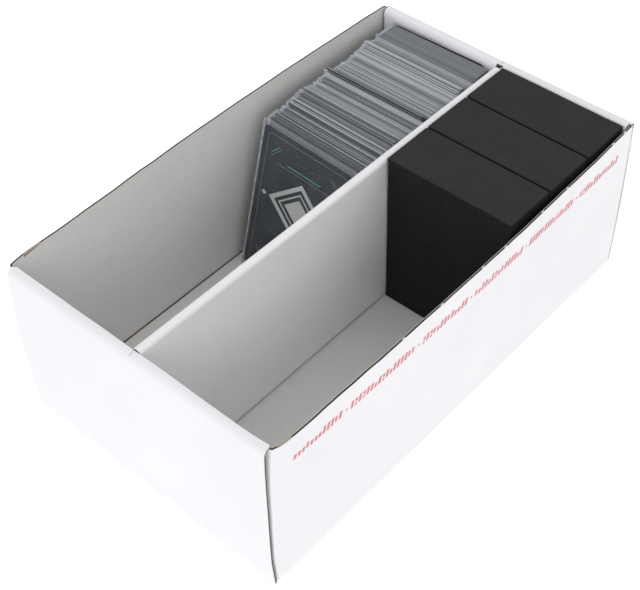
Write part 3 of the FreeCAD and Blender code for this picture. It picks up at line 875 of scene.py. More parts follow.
# ---------------------------------------------------------------------------
# Floor panel
# ---------------------------------------------------------------------------
def floor_panel():
    b = Build("floor_panel", "tray", ["floor_panel"], "tray_board",
              [WHITE_Y, GREY_Y, EDGE_WHITE, EDGE_GREY, KRAFT_AND_SHADE])
    sag = wander(201, 40.0, -150, 150, 0.12)
    sag2 = wander(202, 33.0, -90, 90, 0.10)
    edge_l, edge_r = wander(203, 15.0, -150, 150, 0.12), wander(204, 15.0, -150, 150, 0.12)

    def S(U, V, d):
        U, V, d = np.broadcast_arrays(np.asarray(U, float), np.asarray(V, float), np.asarray(d, float))
        x = U * (79.75 + np.where(U < 0, edge_l(V), edge_r(V)) * np.abs(U))
        x = x - np.sign(x) * 0.25 * sstep(np.abs(U), 0.9, 1.0)
        bevel = np.clip((np.abs(x) - 78.75) / 0.9, 0, 1)
        lift = (sag(V) + sag2(x)) * (1 - np.clip(np.abs(x) / 80, 0, 1) ** 4) * (1 - np.clip(np.abs(V) / 137, 0, 1) ** 6)
        z0 = 0.02 + 0.12 * bevel ** 2
        z1 = 1.6 + lift - 0.22 * bevel ** 2
        f = d / T
        return np.stack([x, V, z0 * (1 - f) + z1 * f], -1)
    tx = [(s * 40.0 - 12.3, s * 40.0 + 12.3) for s in (-1, 1)]
    ty = ((-134.6, -132.6), (133.7, 135.7))
    e = [v / 79.75 for p in tx for v in p]
    us = lines(-1, 1, 0.05, *e, -0.9995, 0.9995, -0.996, 0.996, -0.992, 0.992)
    vs = lines(-136.0, 138.6, 4.0, *ty[0], *ty[1])

    def keep(U, V):
        hole = np.zeros(np.shape(U + V), bool)
        for p in tx:
            for q in ty:
                hole |= (U * 79.75 > p[0]) & (U * 79.75 < p[1]) & (V > q[0]) & (V < q[1])
        return ~hole
    board(b, S, us, vs, WHITE_Y, GREY_Y, keep, core=lambda U, V: (np.abs(U) < 0.999) & (V > -135.8) & (V < 138.4))
    return b.make()


floor_panel()


# ---------------------------------------------------------------------------
# Divider: two leaves and the rolled fold follow one profile; board tabs at both ends
# ---------------------------------------------------------------------------
DIV_NEAR, DIV_FAR = -132.05, 133.15


def divider_surface():
    belly = wander(301, 45.0, -150, 150, 0.35)
    belly2 = wander(302, 38.0, -150, 150, 0.30)
    crest = wander(303, 30.0, -150, 150, 0.10)
    side_w = wander(304, 50.0, -150, 150, 0.25)

    def S(U, V, d):
        """U along Y, V in mm: 0..94 up the right leaf, 94..102 over the fold, 102..196 down the left leaf."""
        U, V, d = np.broadcast_arrays(np.asarray(U, float), np.asarray(V, float), np.asarray(d, float))
        h = (95.6 - 2.9) / 94.0
        zr = 2.9 + np.clip(V, 0, 94) * h
        zl = 2.9 + np.clip(196.0 - V, 0, 94) * h
        th = np.clip((V - 94.0) / 8.0, 0, 1) * np.pi
        z0 = np.where(V <= 94, zr, np.where(V >= 102, zl, 95.6))
        f = (z0 - 1.9) / (95.6 - 1.9)
        bulge = np.sin(np.pi * f) * (0.25 + belly(U)) * (1 - np.clip(np.abs(U) / 133, 0, 1) ** 8)
        bulge2 = np.sin(np.pi * f) * (0.25 + belly2(U)) * (1 - np.clip(np.abs(U) / 133, 0, 1) ** 8)
        xh = 3.6 - f * 1.0
        sgn = np.cos(th)
        r = 2.6
        rr = r - d * (1 - 0.0)
        # leaves
        xr = xh + bulge - d
        xl = -(xh + bulge2 - d)
        # the fold is creased twice, so that it is squarer than a half circle
        cs, sn = np.cos(th), np.abs(np.sin(th))
        xf = np.clip(r - d, 0.05, None) * np.sign(cs) * np.abs(cs) ** 0.74
        zf = 95.6 + np.clip(r - d, 0.05, None) * sn ** 0.74 + 0.12 * crest(U) * sn
        x = np.where(V <= 94, xr, np.where(V >= 102, xl, xf))
        z = np.where((V <= 94) | (V >= 102), z0, zf)
        x = x + side_w(U) * (f if False else 1.0) * 0.6 * np.sin(np.pi * np.clip(z / 98.2, 0, 1)) * (1 - np.clip(np.abs(U) / 133, 0, 1) ** 4)
        return np.stack([x, U - 0.95 * f ** 4 * sstep(-U, 112.0, 132.0), z], -1)
    return S


def divider():
    S = divider_surface()
    us = lines(DIV_NEAR, DIV_FAR, 3.6, DIV_NEAR + 2.2, DIV_FAR - 2.2)
    core = lambda U, V: (U > DIV_NEAR + 2.2) & (U < DIV_FAR - 2.2) & (V > 2.0) & (V < 194.0)
    for nm, vs in (("divider_right_leaf", lines(0, 94.0, 3.2, 2.0)),
                   ("divider_top_fold", np.linspace(94.0, 102.0, 17)),
                   ("divider_left_leaf", lines(102.0, 196.0, 3.2, 194.0))):
        b = Build(nm, "divider", [nm], "divider_board", [WHITE_D_LIT, GREY_Y, EDGE_WHITE, EDGE_GREY, KRAFT_AND_SHADE])
        # painted highlight: a raised tone along the fold's crest, which the coat turns into a whiter line
        tone = np.tile(1.0 + 1.2 * np.exp(-((vs - 100.4) / 0.5) ** 2), len(us)) if nm == "divider_top_fold" else 1.0
        board(b, S, us, vs, WHITE_D_LIT, GREY_Y, core=core, tone=tone)
        if nm != "divider_top_fold":
            for s_ in (1, -1):
                fv = lines(vs[0] + 0.5, vs[-1], 1.0)
                strip(b, S, fv, lambda U, s_=s_: (DIV_FAR if s_ > 0 else DIV_NEAR) + 0 * U,
                      lambda U: 0.60 + 0.16 * np.sin(U * 1.85), lambda U: 0.14 + 0 * U,
                      lambda U: 0.2 + 0 * U, 2.2, sign=s_, along="v")
        b.make()
    for end, sg in (("front", -1.0), ("rear", 1.0)):
        nm = "divider_%s_tab" % end
        b = Build(nm, "divider", [nm], "divider_board", [WHITE_Z, GREY_Z, EDGE_WHITE, EDGE_GREY, KRAFT_AND_SHADE])
        for side in (1, -1):
            base = 132.1 if sg < 0 else 133.2
            tip = 136.2 if sg < 0 else 138.4
            high = 30.1 if sg < 0 else 29.6

            def F(U, V, d, side=side, base=base, tip=tip, high=high):
                """U 0..1 outwards along Y, V 0..1 up."""
                U, V, d = np.broadcast_arrays(np.asarray(U, float), np.asarray(V, float), np.asarray(d, float))
                z = 66.0 + V * high
                reach = tip - 2.0 * np.clip(1 - (z - 66.0) / 6.0, 0, 1)
                y = base + U * (reach - base)
                r0 = 1.62 - (0.62 * sstep(z, 86.0, 95.6) if sg > 0 else 0.0)
                x = side * (r0 - d / T * (r0 - 0.06)) + (0.15 if sg > 0 else 0.0)
                return np.stack([x, sg * y, z], -1)
            us2 = np.linspace(0, 1, 6)
            vs2 = lines(0, 1, 0.05, 0.9)
            board(b, F, us2, vs2, WHITE_Z, GREY_Z, core=lambda U, V: (V < 0.9) & (U < 0.8))
            strip(b, F, lines(0.02, 1.0, 0.02), lambda U: 1.0 + 0 * U,
                  lambda U: 0.60 + 0.18 * np.sin(U * 30.6 * 1.85), lambda U: 0.13 + 0 * U,
                  lambda U: 0.03 + 0 * U, 0.8, sign=1, along="v")
        if sg > 0:
            # the far tab keeps the fold over its two leaves
            def G(U, V, d):
                U, V, d = np.broadcast_arrays(np.asarray(U, float), np.asarray(V, float), np.asarray(d, float))
                th = V * np.pi
                r = 1.0 - d * 0.9
                droop = 0.25 * np.clip((U - 137.4) / 1.0, 0, 1) ** 2
                return np.stack([0.15 + r * np.cos(th), U, 95.62 + r * np.sin(th) * (1 - droop)], -1)
            b.slab(G, np.linspace(133.2, 138.4, 9), np.linspace(0, 1, 15), 0.0, 0.5, WHITE_Z, GREY_Z, EDGE_WHITE)
        b.make()


divider()


# ---------------------------------------------------------------------------
# A generic row of slanted marks where the maker's line stands on the real wall
# ---------------------------------------------------------------------------
PRINT_RED = paper("print_red", (0.64, 0.205, 0.225), (0.71, 0.265, 0.285), 1300.0, 0.000012, (0.45, 0.6))


def u_at(side, y, z):
    lo = fold_y[side][0](z) + FOLD_R
    hi = fold_y[side][1](z) - FOLD_R
    return (y - lo) / (hi - lo) * 396.0 - 198.0


def print_row():
    S = SIDES[1]
    b = Build("right_wall_print_row", "tray", [], "tray_board", [PRINT_RED])
    y = -124.5
    groups = [12, 17, 13, 15, 15, 14]
    pitch = 251.0 / (sum(groups) + 2.0 * (len(groups) - 1))
    z0, z1 = 82.2, 86.9
    slant = 1.0
    rs = np.random.RandomState(88)

    def mark(ya, w, za, zb, lean):
        def Q(U, V, d):
            z = za + V * (zb - za)
            return S(u_at(1, U + lean * V, z), z, d)
        b.slab(Q, np.array([0.0, 0.5, 1.0]) * w + ya, np.array([0.0, 0.5, 1.0]), -0.018, 0.02,
               PRINT_RED, PRINT_RED, PRINT_RED)
    for gi, n in enumerate(groups):
        for k in range(n):
            # slanted bars, a few of them short or split, so that the row has a rhythm and no letters
            kind = rs.choice(4, p=[0.50, 0.24, 0.14, 0.12])
            w = pitch * 0.66
            if kind == 0:
                mark(y, w, z0, z1, slant)
            elif kind == 1:
                mark(y, w, z0, z0 + 2.9, slant * 0.72)
            elif kind == 2:
                mark(y, w, z0, z0 + 1.45, slant * 0.36)
                mark(y + slant * 0.55, w, z0 + 2.2, z1 - 0.4, slant * 0.36)
            else:
                mark(y, w * 0.9, z0 + 0.6, z1 - 0.6, slant * 0.7)
            y += pitch
        if gi < len(groups) - 1:
            mark(y + pitch * 0.75, pitch * 0.5, 83.8, 85.0, 0.3)
            y += 2.0 * pitch
    return b.make(replace=False)


print_row()


# ---------------------------------------------------------------------------
# Cards in clear sleeves
# ---------------------------------------------------------------------------
def film_face():
    m = Mat("sleeve_film", IOR=1.49, Specular_IOR_Level=0.5, Coat_Weight=0.12, Coat_Roughness=0.25)
    t = m.attr("tone")
    n = m.noise(160.0, 3.0, 0.6, co=m.mapped((0.35, 1.0, 1.0)))
    # tone runs from dark to pale: partly random differences between cards, partly painted light and shade along the row
    c = m.mix(m.rng(t, 0.0, 1.0, 0.0, 1.0), (0.034, 0.043, 0.053), (0.640, 0.685, 0.735))
    c = m.mix(m.rng(n, 0.35, 0.7, 0.0, 0.10), c, (0.26, 0.28, 0.30))
    m.color(c)
    m.rough(m.rng(m.noise(420.0, 3.0, 0.6), 0.3, 0.7, 0.28, 0.46))
    m.normal(m.bump(m.noise(330.0, 2.0, 0.5), 0.00004, 0.35))
    return m.m


def film_edge(name="sleeve_film_edge", hi=(0.78, 0.81, 0.84)):
    m = Mat(name, IOR=1.49, Specular_IOR_Level=0.5)
    t = m.attr("tone")
    n = m.noise(230.0, 3.0, 0.7, co=m.mapped((0.3, 1.0, 1.0)))
    # the lips' tone carries painted highlight and shade, besides random differences
    c = m.mix(m.rng(t, 0.0, 1.0, 0.0, 1.0), (0.11, 0.125, 0.14), hi)
    c = m.mix(m.rng(n, 0.4, 0.75, 0.0, 0.35), c, (0.28, 0.30, 0.32))
    m.color(c)
    m.rough(m.rng(n, 0.3, 0.7, 0.24, 0.42))
    m.normal(m.bump(m.noise(900.0, 2.0, 0.5), 0.00003, 0.5))
    return m.m


def card_stock():
    m = Mat("card_edge", IOR=1.45, Specular_IOR_Level=0.2)
    t = m.attr("tone")
    n = m.noise(1300.0, 3.0, 0.7)
    c = m.mix(m.rng(n, 0.3, 0.7, 0.0, 1.0), (0.46, 0.485, 0.515), (0.56, 0.585, 0.61))
    # the card's top edge darkens where the tone is low, following the row's painted light and shade
    c = m.mix(m.rng(t, 0.1, 0.9, 0.75, 0.0), c, (0.13, 0.14, 0.16))
    m.color(c)
    m.rough(m.rng(n, 0.3, 0.7, 0.7, 0.9))
    m.normal(m.bump(n, 0.00003, 0.6))
    return m.m


def slate(name, a, b, rough=(0.34, 0.46)):
    m = Mat(name, IOR=1.48, Specular_IOR_Level=0.4)
    n = m.noise(46.0, 4.0, 0.55)
    g = m.noise(1500.0, 2.0, 0.5)
    c = m.mix(m.rng(n, 0.3, 0.72, 0.0, 1.0), a, b)
    c = m.mix(m.rng(g, 0.35, 0.7, 0.0, 0.05), c, tuple(x * 1.4 for x in b))
    m.color(c)
    m.rough(m.rng(n, 0.3, 0.7, *rough))
    m.normal(m.bump(g, 0.000003, 0.2))
    return m.m


def clear_film():
    """Clear front film: mostly see-through, faintly milky, with a soft gloss."""
    m = Mat("sleeve_clear", IOR=1.49, Specular_IOR_Level=0.5, Roughness=0.22)
    n = m.noise(70.0, 4.0, 0.6)
    m.color(m.mix(m.rng(n, 0.3, 0.7, 0.0, 1.0), (0.50, 0.53, 0.56), (0.62, 0.65, 0.68)))
    m.rough(m.rng(m.noise(50.0, 3.0, 0.6), 0.3, 0.7, 0.20, 0.30))
    m.link(m.rng(n, 0.3, 0.7, 0.026, 0.048), m.b.inputs["Alpha"])
    m.normal(m.bump(m.noise(30.0, 1.0, 0.4), 0.00003, 0.10))
    return m.m


def clear_weld():
    m = Mat("sleeve_weld", IOR=1.49, Specular_IOR_Level=0.5)
    n = m.noise(260.0, 4.0, 0.6)
    m.color(m.mix(m.rng(n, 0.3, 0.7, 0.0, 1.0), (0.44, 0.47, 0.50), (0.60, 0.63, 0.66)))
    m.rough(m.rng(n, 0.3, 0.7, 0.2, 0.36))
    m.link(m.rng(n, 0.3, 0.7, 0.50, 0.68), m.b.inputs["Alpha"])
    m.normal(m.bump(n, 0.00004, 0.5))
    return m.m


FILM, FILM_EDGE, CARD_EDGE = film_face(), film_edge(), card_stock()
FILM_SIDE = film_edge("sleeve_side_seam", (0.22, 0.235, 0.25))


def painted_gap_shade():
    """Matte near-black painted shade, for the faces and lips of the few cards that stand behind a gap in the row."""
    m = Mat("card_gap_painted_shade", IOR=1.4, Specular_IOR_Level=0.06)
    n = m.noise(180.0, 3.0, 0.6)
    m.color(m.mix(m.rng(n, 0.3, 0.7, 0.0, 1.0), (0.010, 0.012, 0.015), (0.020, 0.023, 0.028)))
    m.rough(m.rng(n, 0.3, 0.7, 0.60, 0.75))
    m.normal(m.bump(n, 0.00001, 0.3))
    return m.m


GAP_SHADE = painted_gap_shade()
SLATE = slate("card_slate", (0.016, 0.022, 0.028), (0.028, 0.037, 0.046))
PALE = slate("card_pale_ink", (0.52, 0.54, 0.54), (0.62, 0.64, 0.63), (0.4, 0.55))
TEAL = slate("card_teal_ink", (0.07, 0.34, 0.34), (0.10, 0.44, 0.44), (0.4, 0.55))
DIMINK = slate("card_grey_ink", (0.15, 0.17, 0.19), (0.20, 0.22, 0.24), (0.4, 0.55))
BACKING = slate("card_blue_grey", (0.250, 0.270, 0.295), (0.300, 0.322, 0.348), (0.4, 0.55))
CLEAR, WELD = clear_film(), clear_weld()

SLEEVE_H, SLEEVE_W = 91.5, 66.4
PACKETS = 6
PER = 30


def row_line(f):
    return 1.65 + f * 126.15, 26.5 + f * 105.2


def left_edge(yt):
    knots = [(20, -73.6), (30, -73.5), (46, -73.6), (47.5, -74.4), (57, -75.0), (59.6, -74.8), (60.4, -73.6),
             (76, -74.0), (76.6, -76.3), (79.2, -76.5), (80.5, -73.0), (95, -72.9), (104, -73.8), (108.5, -74.2),
             (109.2, -75.3), (110.4, -75.3), (111.5, -73.2), (117.6, -73.0), (118.4, -74.5), (119.6, -74.5),
             (121, -72.9), (134, -72.8)]
    return np.interp(yt, [k[0] for k in knots], [k[1] for k in knots])


def sleeved_card(b, x0, yf, lean, h, hb, w, thick, bend, roll, tone, etone, yaw=0.0):
    """One card in its sleeve: a closed pocket open at the top, the card standing 2 to 3 mm below the lips."""
    film = 0.25 * thick
    hc = min(89.4, min(h, hb) - 2.0)
    xs = np.array([0.0, 0.55, 1.7, 2.0, 6.0, 14.0, 24.0, 33.2, 42.4, 52.4, 60.4, w - 2.0, w - 0.75, w])
    sec = [(0.0, 0.25), (0.0, h * 0.5), (0.0, h), (film, h), (film, hc), (thick - film, hc), (thick - film, hb),
           (thick, hb), (thick, hb * 0.5), (thick, 0.25), (thick * 0.5, 0.0)]
    # a card with zero tone gets the near-black painted shade on its face and lips
    face = FILM if tone > 0.0 else GAP_SHADE
    lip = FILM_EDGE if etone > 0.0 else GAP_SHADE
    mats = [face, face, lip, FILM, CARD_EDGE, FILM, lip, FILM, FILM, FILM_EDGE, FILM_EDGE]
    tn = [tone, tone, etone, etone * 0.8, tone * 0.7, tone * 0.7, etone, etone, tone, tone, tone]
    ca, sa = math.cos(lean), math.sin(lean)
    cr, sr = math.cos(roll), math.sin(roll)
    ns = len(sec)
    P = []
    for i, x in enumerate(xs):
        end = i in (0, len(xs) - 1)
        q = (x - w / 2) / (w / 2)
        for k, (n, v) in enumerate(sec):
            if end and k in (4, 5):
                v = min(h, hb) - 0.06
            off = bend[0] * (1 - q * q) * (v / h) ** 1.5 + bend[1] * math.sin(q * 4.2 + bend[2]) * (v / h)
            nn = n + off
            xx = (x - w / 2) * cr + (v - 2.0) * sr + w / 2
            vv = v * cr - (x - w / 2) * sr
            vv += 0.04 * math.sin(x * 0.31 + bend[2] * 7.0)
            P.append((x0 + xx - 89.5 * sr, yf + nn * ca + vv * sa - (x - w / 2) * math.sin(yaw),
                      2.15 + max(vv, 0.0) * ca - nn * sa + 0.12))
    # the welded margin at the left has no card behind it and is paler
    pale = np.array([1.0 if k in (0, 1, 2, 3, 6, 7, 8, 9, 10) else 0.6 for k in range(ns)])
    tv = [np.array(tn) + (np.clip(0.80 - np.array(tn), 0.0, None) * pale * (0.85 if x < 1.8 else 0.0)) for x in xs]
    base = b.verts(P, np.concatenate(tv))
    nx = len(xs)
    for k in range(ns):
        k2 = (k + 1) % ns
        q = [[base + i * ns + k, base + (i + 1) * ns + k, base + (i + 1) * ns + k2, base + i * ns + k2] for i in range(nx - 1)]
        b.faces(q, mats[k])
    for i in (0, nx - 1):
        o = base + i * ns
        # end caps in three closed pieces: front film, body, back film
        b.faces([[o + 1, o + 2, o + 3, o + 4]], FILM_SIDE)
        b.faces([[o + 5, o + 6, o + 7, o + 8]], FILM_SIDE)
        b.faces([[o + 1, o + 4, o + 5, o + 8]], FILM_SIDE)
        b.faces([[o + 0, o + 1, o + 8, o + 9]], FILM_SIDE)
        b.f.append(np.array([[o + 0, o + 9, o + 10]]))
        b.m.append(np.array([b.mats.index(FILM_SIDE)]))


def card_row():
    rs = np.random.RandomState(424)
    total = PACKETS * PER
    # grouped steps in height, in-plane tilt and tone, as cards come from different batches
    dh, tilt, tone, side = np.zeros(total), np.zeros(total), np.zeros(total), np.zeros(total)
    k = 0
    # painted light: the tone of the card tops rises and falls along the row to stand in for how the light falls on them
    painted_light_level = curve([0, 0.05, 0.14, 0.26, 0.30, 0.34, 0.42, 0.46, 0.495, 0.52, 0.56, 0.70, 0.79, 0.83, 0.88, 0.92, 1.0],
                  [0.23, 0.26, 0.30, 0.40, 0.48, 0.56, 0.54, 0.40, 0.40, 0.50, 0.58, 0.62, 0.60, 0.45, 0.36, 0.28, 0.27])
    rough = curve([0, 0.2, 0.45, 0.75, 0.86, 0.895, 1.0], [0.24, 0.24, 0.24, 0.20, 0.17, 0.03, 0.03])
    while k < total:
        n = int(rs.choice([1, 2, 3, 4, 6], p=[0.34, 0.26, 0.18, 0.14, 0.08]))
        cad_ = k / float(total)
        r = float(rough(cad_))
        dh[k:k + n] = np.clip(rs.normal(0, r), -1.3, 1.0)
        tilt[k:k + n] = math.radians(np.clip(rs.normal(0, 0.16), -0.35, 0.35)) * min(1.0, r * 3.0)
        tone[k:k + n] = np.clip(rs.normal(0, 0.13 * min(1.0, 0.25 + r * 2.2)), -0.3, 0.3)
        side[k:k + n] = rs.normal(0, 0.26) * min(1.0, 0.2 + r * 2.5)
        k += n
    fr = np.arange(total) / float(total)
    quiet = np.clip(rough(fr) * 4.5, 0.10, 1.0)
    dh += rs.normal(0, 0.15, total) * quiet
    # painted light: every second line is painted paler as a highlight on the open lips, the others darker as painted
    # shade between them
    lip_glint_and_gap_shade_beat = np.where(np.arange(total) % 2 == 0, 1.0, -1.0) * (0.55 + 0.45 * np.sin(np.arange(total) * 0.37 + 1.0))
    swing = quiet * (0.25 + 0.75 * painted_light_level(fr))
    tone = np.clip(painted_light_level(fr) + tone * (0.45 + 0.55 * painted_light_level(fr) / 0.6) + (rs.normal(0, 0.24, total) + 0.32 * lip_glint_and_gap_shade_beat) * swing, 0.02, 1.0)
    # about half of the cards have slid a little to the right
    slid = rs.uniform(0.5, 2.0, total) * (rs.rand(total) < 0.5) * np.clip(quiet, 0.0, 1.0)
    side = np.clip(side, -0.3, 0.3) + rs.normal(0, 0.12, total) + slid
    # the lips' tone follows the same painted light and shade
    et = np.clip(painted_light_level(fr) * 0.9 + 0.08 + (rs.normal(0, 0.30, total) + 0.38 * lip_glint_and_gap_shade_beat) * quiet, 0.03, 1.0)

    # a few cards that sit low or stand proud; the low ones get painted shade, the proud one a painted highlight
    def at(f):
        return int(round(f * total))
    for f, n, drop, tv, ev in ((0.493, 1, -12.0, 0.0, 0.0), (0.296, 1, -7.0, 0.0, 0.0), (0.78, 1, -1.0, 0.08, 0.10),
                               (0.795, 1, 1.0, 0.95, 1.0)):
        a = at(f)
        dh[a:a + n] += drop
        et[a:a + n] = ev
        # the listed tone goes to the card and, for a low card, to the face behind it: dark as painted shade, or pale as
        # a painted highlight
        tone[a:a + n + (1 if drop < -2 else 0)] = tv
        side[a:a + n] = 0.9
    far = fr >= 0.895
    dh[far] += 1.3
    tilt[far] = tilt[far] * 0.3 - 0.0215
    yaw = curve([0, 0.12, 0.3, 0.45, 1.0], [2.6, 1.7, 0.5, 0.0, 0.0])
    b0, b1, b2 = wander(501, 18.0, -10, 180, 0.9), wander(502, 22.0, -10, 180, 0.10), wander(503, 30.0, -10, 180, 2.0)
    for p in range(PACKETS):
        nm = "card_packet_%d" % (p + 1)
        b = Build(nm, "packet_%d" % (p + 1), [nm], "sleeved_cards", [FILM, FILM_EDGE, CARD_EDGE, FILM_SIDE, GAP_SHADE])
        for j in range(PER):
            i = p * PER + j
            f = (p + (j + 0.06) / (PER + 0.55)) / PACKETS
            yb, yt = row_line(f)
            lean = math.asin((yt - yb) / SLEEVE_H)
            h = SLEEVE_H + dh[i]
            hb = h + (0.28 if rs.rand() < 0.3 else 0.0) * rs.uniform(-1, 1)
            wide = 0.9 * float(sstep(f, 0.10, 0.30))
            # the card stays clear of the divider's leaf, which leans away towards its fold
            w, sr = SLEEVE_W + wide, math.sin(tilt[i] * 0.6)
            x0 = min(float(left_edge(yt)) + side[i] + 0.55 * wide, -3.97 - w + 91.3 * sr, -2.75 - w)
            flat = min(1.0, i / 3.0)
            sleeved_card(b, x0, yb, lean, h, hb, w, 0.61,
                         (0.16 * flat * float(b0(i * 1.2)), 0.5 * flat * float(b1(i * 1.2)), float(b2(i * 1.2))), tilt[i] * 0.6,
                         tone[i], et[i], math.radians(float(yaw(f))))
        b.make(angle=30.0, weld=0)


card_row()


def frame_of(x, y, z, lean, yaw=0.0, roll=0.0):
    ca, sa = math.cos(lean), math.sin(lean)
    cr, sr = math.cos(roll), math.sin(roll)
    mid = SLEEVE_W / 2

    def place(u, v, n):
        u, v, n = np.broadcast_arrays(np.asarray(u, float), np.asarray(v, float), np.asarray(n, float))
        uc = (u - mid) * cr - v * sr
        vv = v * cr + (u - mid) * sr
        return np.stack([x + mid + uc * math.cos(yaw), y + n * ca + vv * sa - uc * math.sin(yaw), z - n * sa + vv * ca], -1)
    return place


def rounded(w, h, r, x=0.0, y=0.0, n=7):
    pts = []
    for cx, cy, a0 in ((w - r, r, -90), (w - r, h - r, 0), (r, h - r, 90), (r, r, 180)):
        for k in range(n):
            a = math.radians(a0 + 90.0 * k / (n - 1))
            pts.append((x + cx + r * math.cos(a), y + cy + r * math.sin(a)))
    return pts


def plate(b, place, loop, n0, n1, front, back, edge, bow=0.0):
    """Closed flat plate with its outline as one n-gon each side."""
    L = np.array(loop)
    b.prism(loop, place(L[:, 0], L[:, 1], n0), place(L[:, 0], L[:, 1], n1), edge, back, front)


def ring(b, place, outer, inner, n0, n1, mat):
    """Closed flat frame between two loops with equally many points."""
    O, I = np.array(outer), np.array(inner)
    n = len(O)
    v = [b.verts(place(A[:, 0], A[:, 1], d)) for A, d in ((O, n0), (I, n0), (O, n1), (I, n1))]
    q = []
    for i in range(n):
        j = (i + 1) % n
        q += [[v[0] + i, v[0] + j, v[1] + j, v[1] + i], [v[2] + i, v[3] + i, v[3] + j, v[2] + j],
              [v[0] + i, v[2] + i, v[2] + j, v[0] + j], [v[1] + i, v[1] + j, v[3] + j, v[3] + i]]
    b.faces(q, mat)


def bar(b, place, p, q, w, n0, n1, mat):
    p, q = np.array(p, float), np.array(q, float)
    d = (q - p) / np.linalg.norm(q - p)
    s = np.array([-d[1], d[0]]) * w / 2
    plate(b, place, [tuple(p - s), tuple(q - s), tuple(q + s), tuple(p + s)], n0, n1, mat, mat, mat)


def diamond(cx, cy, a, h):
    return [(cx + a, cy), (cx, cy + h), (cx - a, cy), (cx, cy - h)]


def front_card():
    lean = math.radians(15.80)
    place = frame_of(-74.2, 0.8, 2.6, lean, math.radians(2.6), math.radians(-0.23))
    cx0, cy0 = 1.45, 1.0
    b = Build("front_card", "front_card", ["front_card"], "card_stock",
              [SLATE, PALE, TEAL, DIMINK, CARD_EDGE, BACKING])
    W, H = 63.5, 88.0
    plate(b, place, rounded(W, H, 3.0, cx0, cy0), 0.26, 0.56, SLATE, BACKING, CARD_EDGE)

    def P(u, v, n):
        return place(np.asarray(u) + cx0, np.asarray(v) + cy0, n)
    n0, n1 = 0.235, 0.27
    # thin border
    ring(b, P, rounded(W - 6.6, H - 6.6, 2.2, 3.3, 3.3), rounded(W - 7.3, H - 7.3, 1.9, 3.65, 3.65), n0, n1, DIMINK)
    # nested lozenges in the middle
    c = (W / 2, H / 2 + 5.0)
    ring(b, P, diamond(*c, 21.5, 17.0), diamond(*c, 17.6, 13.9), n0, n1, PALE)
    ring(b, P, diamond(*c, 14.4, 11.4), diamond(*c, 12.9, 10.2), n0, n1, PALE)
    plate(b, P, diamond(*c, 9.6, 7.6), n0, n1, PALE, PALE, PALE)
    for sx in (-1, 1):
        plate(b, P, diamond(c[0] + sx * 25.2, c[1], 1.9, 1.5), n0, n1, PALE, PALE, PALE)
    # paired thin lines above and below
    for dy, w, m in ((20.5, 0.35, DIMINK), (-20.5, 0.35, DIMINK), (-22.6, 0.55, TEAL), (22.6, 0.55, TEAL)):
        half = 19.0 if m is DIMINK else 12.0
        bar(b, P, (c[0] - half, c[1] + dy), (c[0] + half, c[1] + dy), w, n0, n1, m)
    # corner chevrons
    for sx in (-1, 1):
        for sy, base in ((1, H - 9.0), (-1, 9.0)):
            x1, y1 = W / 2 + sx * 24.5, base
            for k, m in ((0.0, TEAL), (2.2, DIMINK)):
                bar(b, P, (x1, y1 - sy * (5.0 + k)), (x1 - sx * (5.0 + k), y1), 0.36, n0, n1, m)
    # lattice of small dots
    for i in range(5):
        for sy in (-1, 1):
            u, v = W / 2 + (i - 2) * 5.2, c[1] + sy * 27.6
            plate(b, P, diamond(u, v, 0.42, 0.42), n0, n1, DIMINK, DIMINK, DIMINK)
    b.make(angle=30.0, weld=0)
    # clear sleeve
    b = Build("front_card_sleeve", "front_card", ["front_card_sleeve"], "clear_sleeve", [CLEAR, WELD, FILM_EDGE])
    sleeve(b, place, SLEEVE_W, 91.3, 0.02, 0.70, WELD)
    b.make(angle=30.0, weld=0)


def sleeve(b, place, w, h, n0, n1, weld):
    """Two films welded at both sides and the foot, open at the top."""
    f = 0.09
    s = 1.25
    # films, the front one slightly bowed over the card
    for a0, a1, top in ((n0, n0 + f, h), (n1 - f, n1, h - 0.25)):
        def F(U, V, d, a0=a0, a1=a1):
            U, V, d = np.broadcast_arrays(np.asarray(U, float), np.asarray(V, float), np.asarray(d, float))
            sag = 0.05 * np.sin(np.pi * np.clip(U / w, 0, 1)) * np.sin(np.pi * np.clip(V / h, 0, 1))
            lp = 0.06 * np.sin(U * 0.11 + 0.6) * np.clip((V - (h - 6)) / 6, 0, 1)
            return place(U, V, a0 + d * (a1 - a0) - (sag - lp) * (1 if a0 == n0 else -0.3))
        b.slab(F, np.linspace(s, w - s, 15), lines(s, top, 6.0, top - 3, top - 1.2), 0.0, 1.0, CLEAR, CLEAR, FILM_EDGE, tone=0.5)
    # welded margins
    for u0, u1, v0, v1 in ((0.0, s, 0.0, h), (w - s, w, 0.0, h), (s, w - s, 0.0, s)):
        def G(U, V, d):
            return place(U, V, n0 + 0.02 + d * (n1 - n0 - 0.04))
        us = np.linspace(u0, u1, 4 if u1 - u0 < 3 else 15)
        vs = lines(v0, v1, 6.0) if v1 - v0 > 3 else np.array([v0, (v0 + v1) / 2, v1])
        b.slab(G, us, vs, 0.0, 1.0, weld, weld, weld)


def rear_card():
    place = frame_of(-71.2, 132.8, 3.3, 0.0, 0.0, math.radians(1.4))
    b = Build("rear_card", "rear_card", ["rear_card"], "card_stock", [SLATE])
    plate(b, place, rounded(63.5, 88.0, 3.0, 1.45, 3.2), 0.26, 0.56, SLATE, SLATE, SLATE)
    b.make(angle=30.0, weld=0)
    b = Build("rear_card_sleeve", "rear_card", ["rear_card_sleeve"], "clear_sleeve", [CLEAR, WELD, FILM_EDGE])
    sleeve(b, place, SLEEVE_W, 92.9, 0.02, 0.76, CLEAR)
    b.make(angle=30.0, weld=0)


front_card()
rear_card()


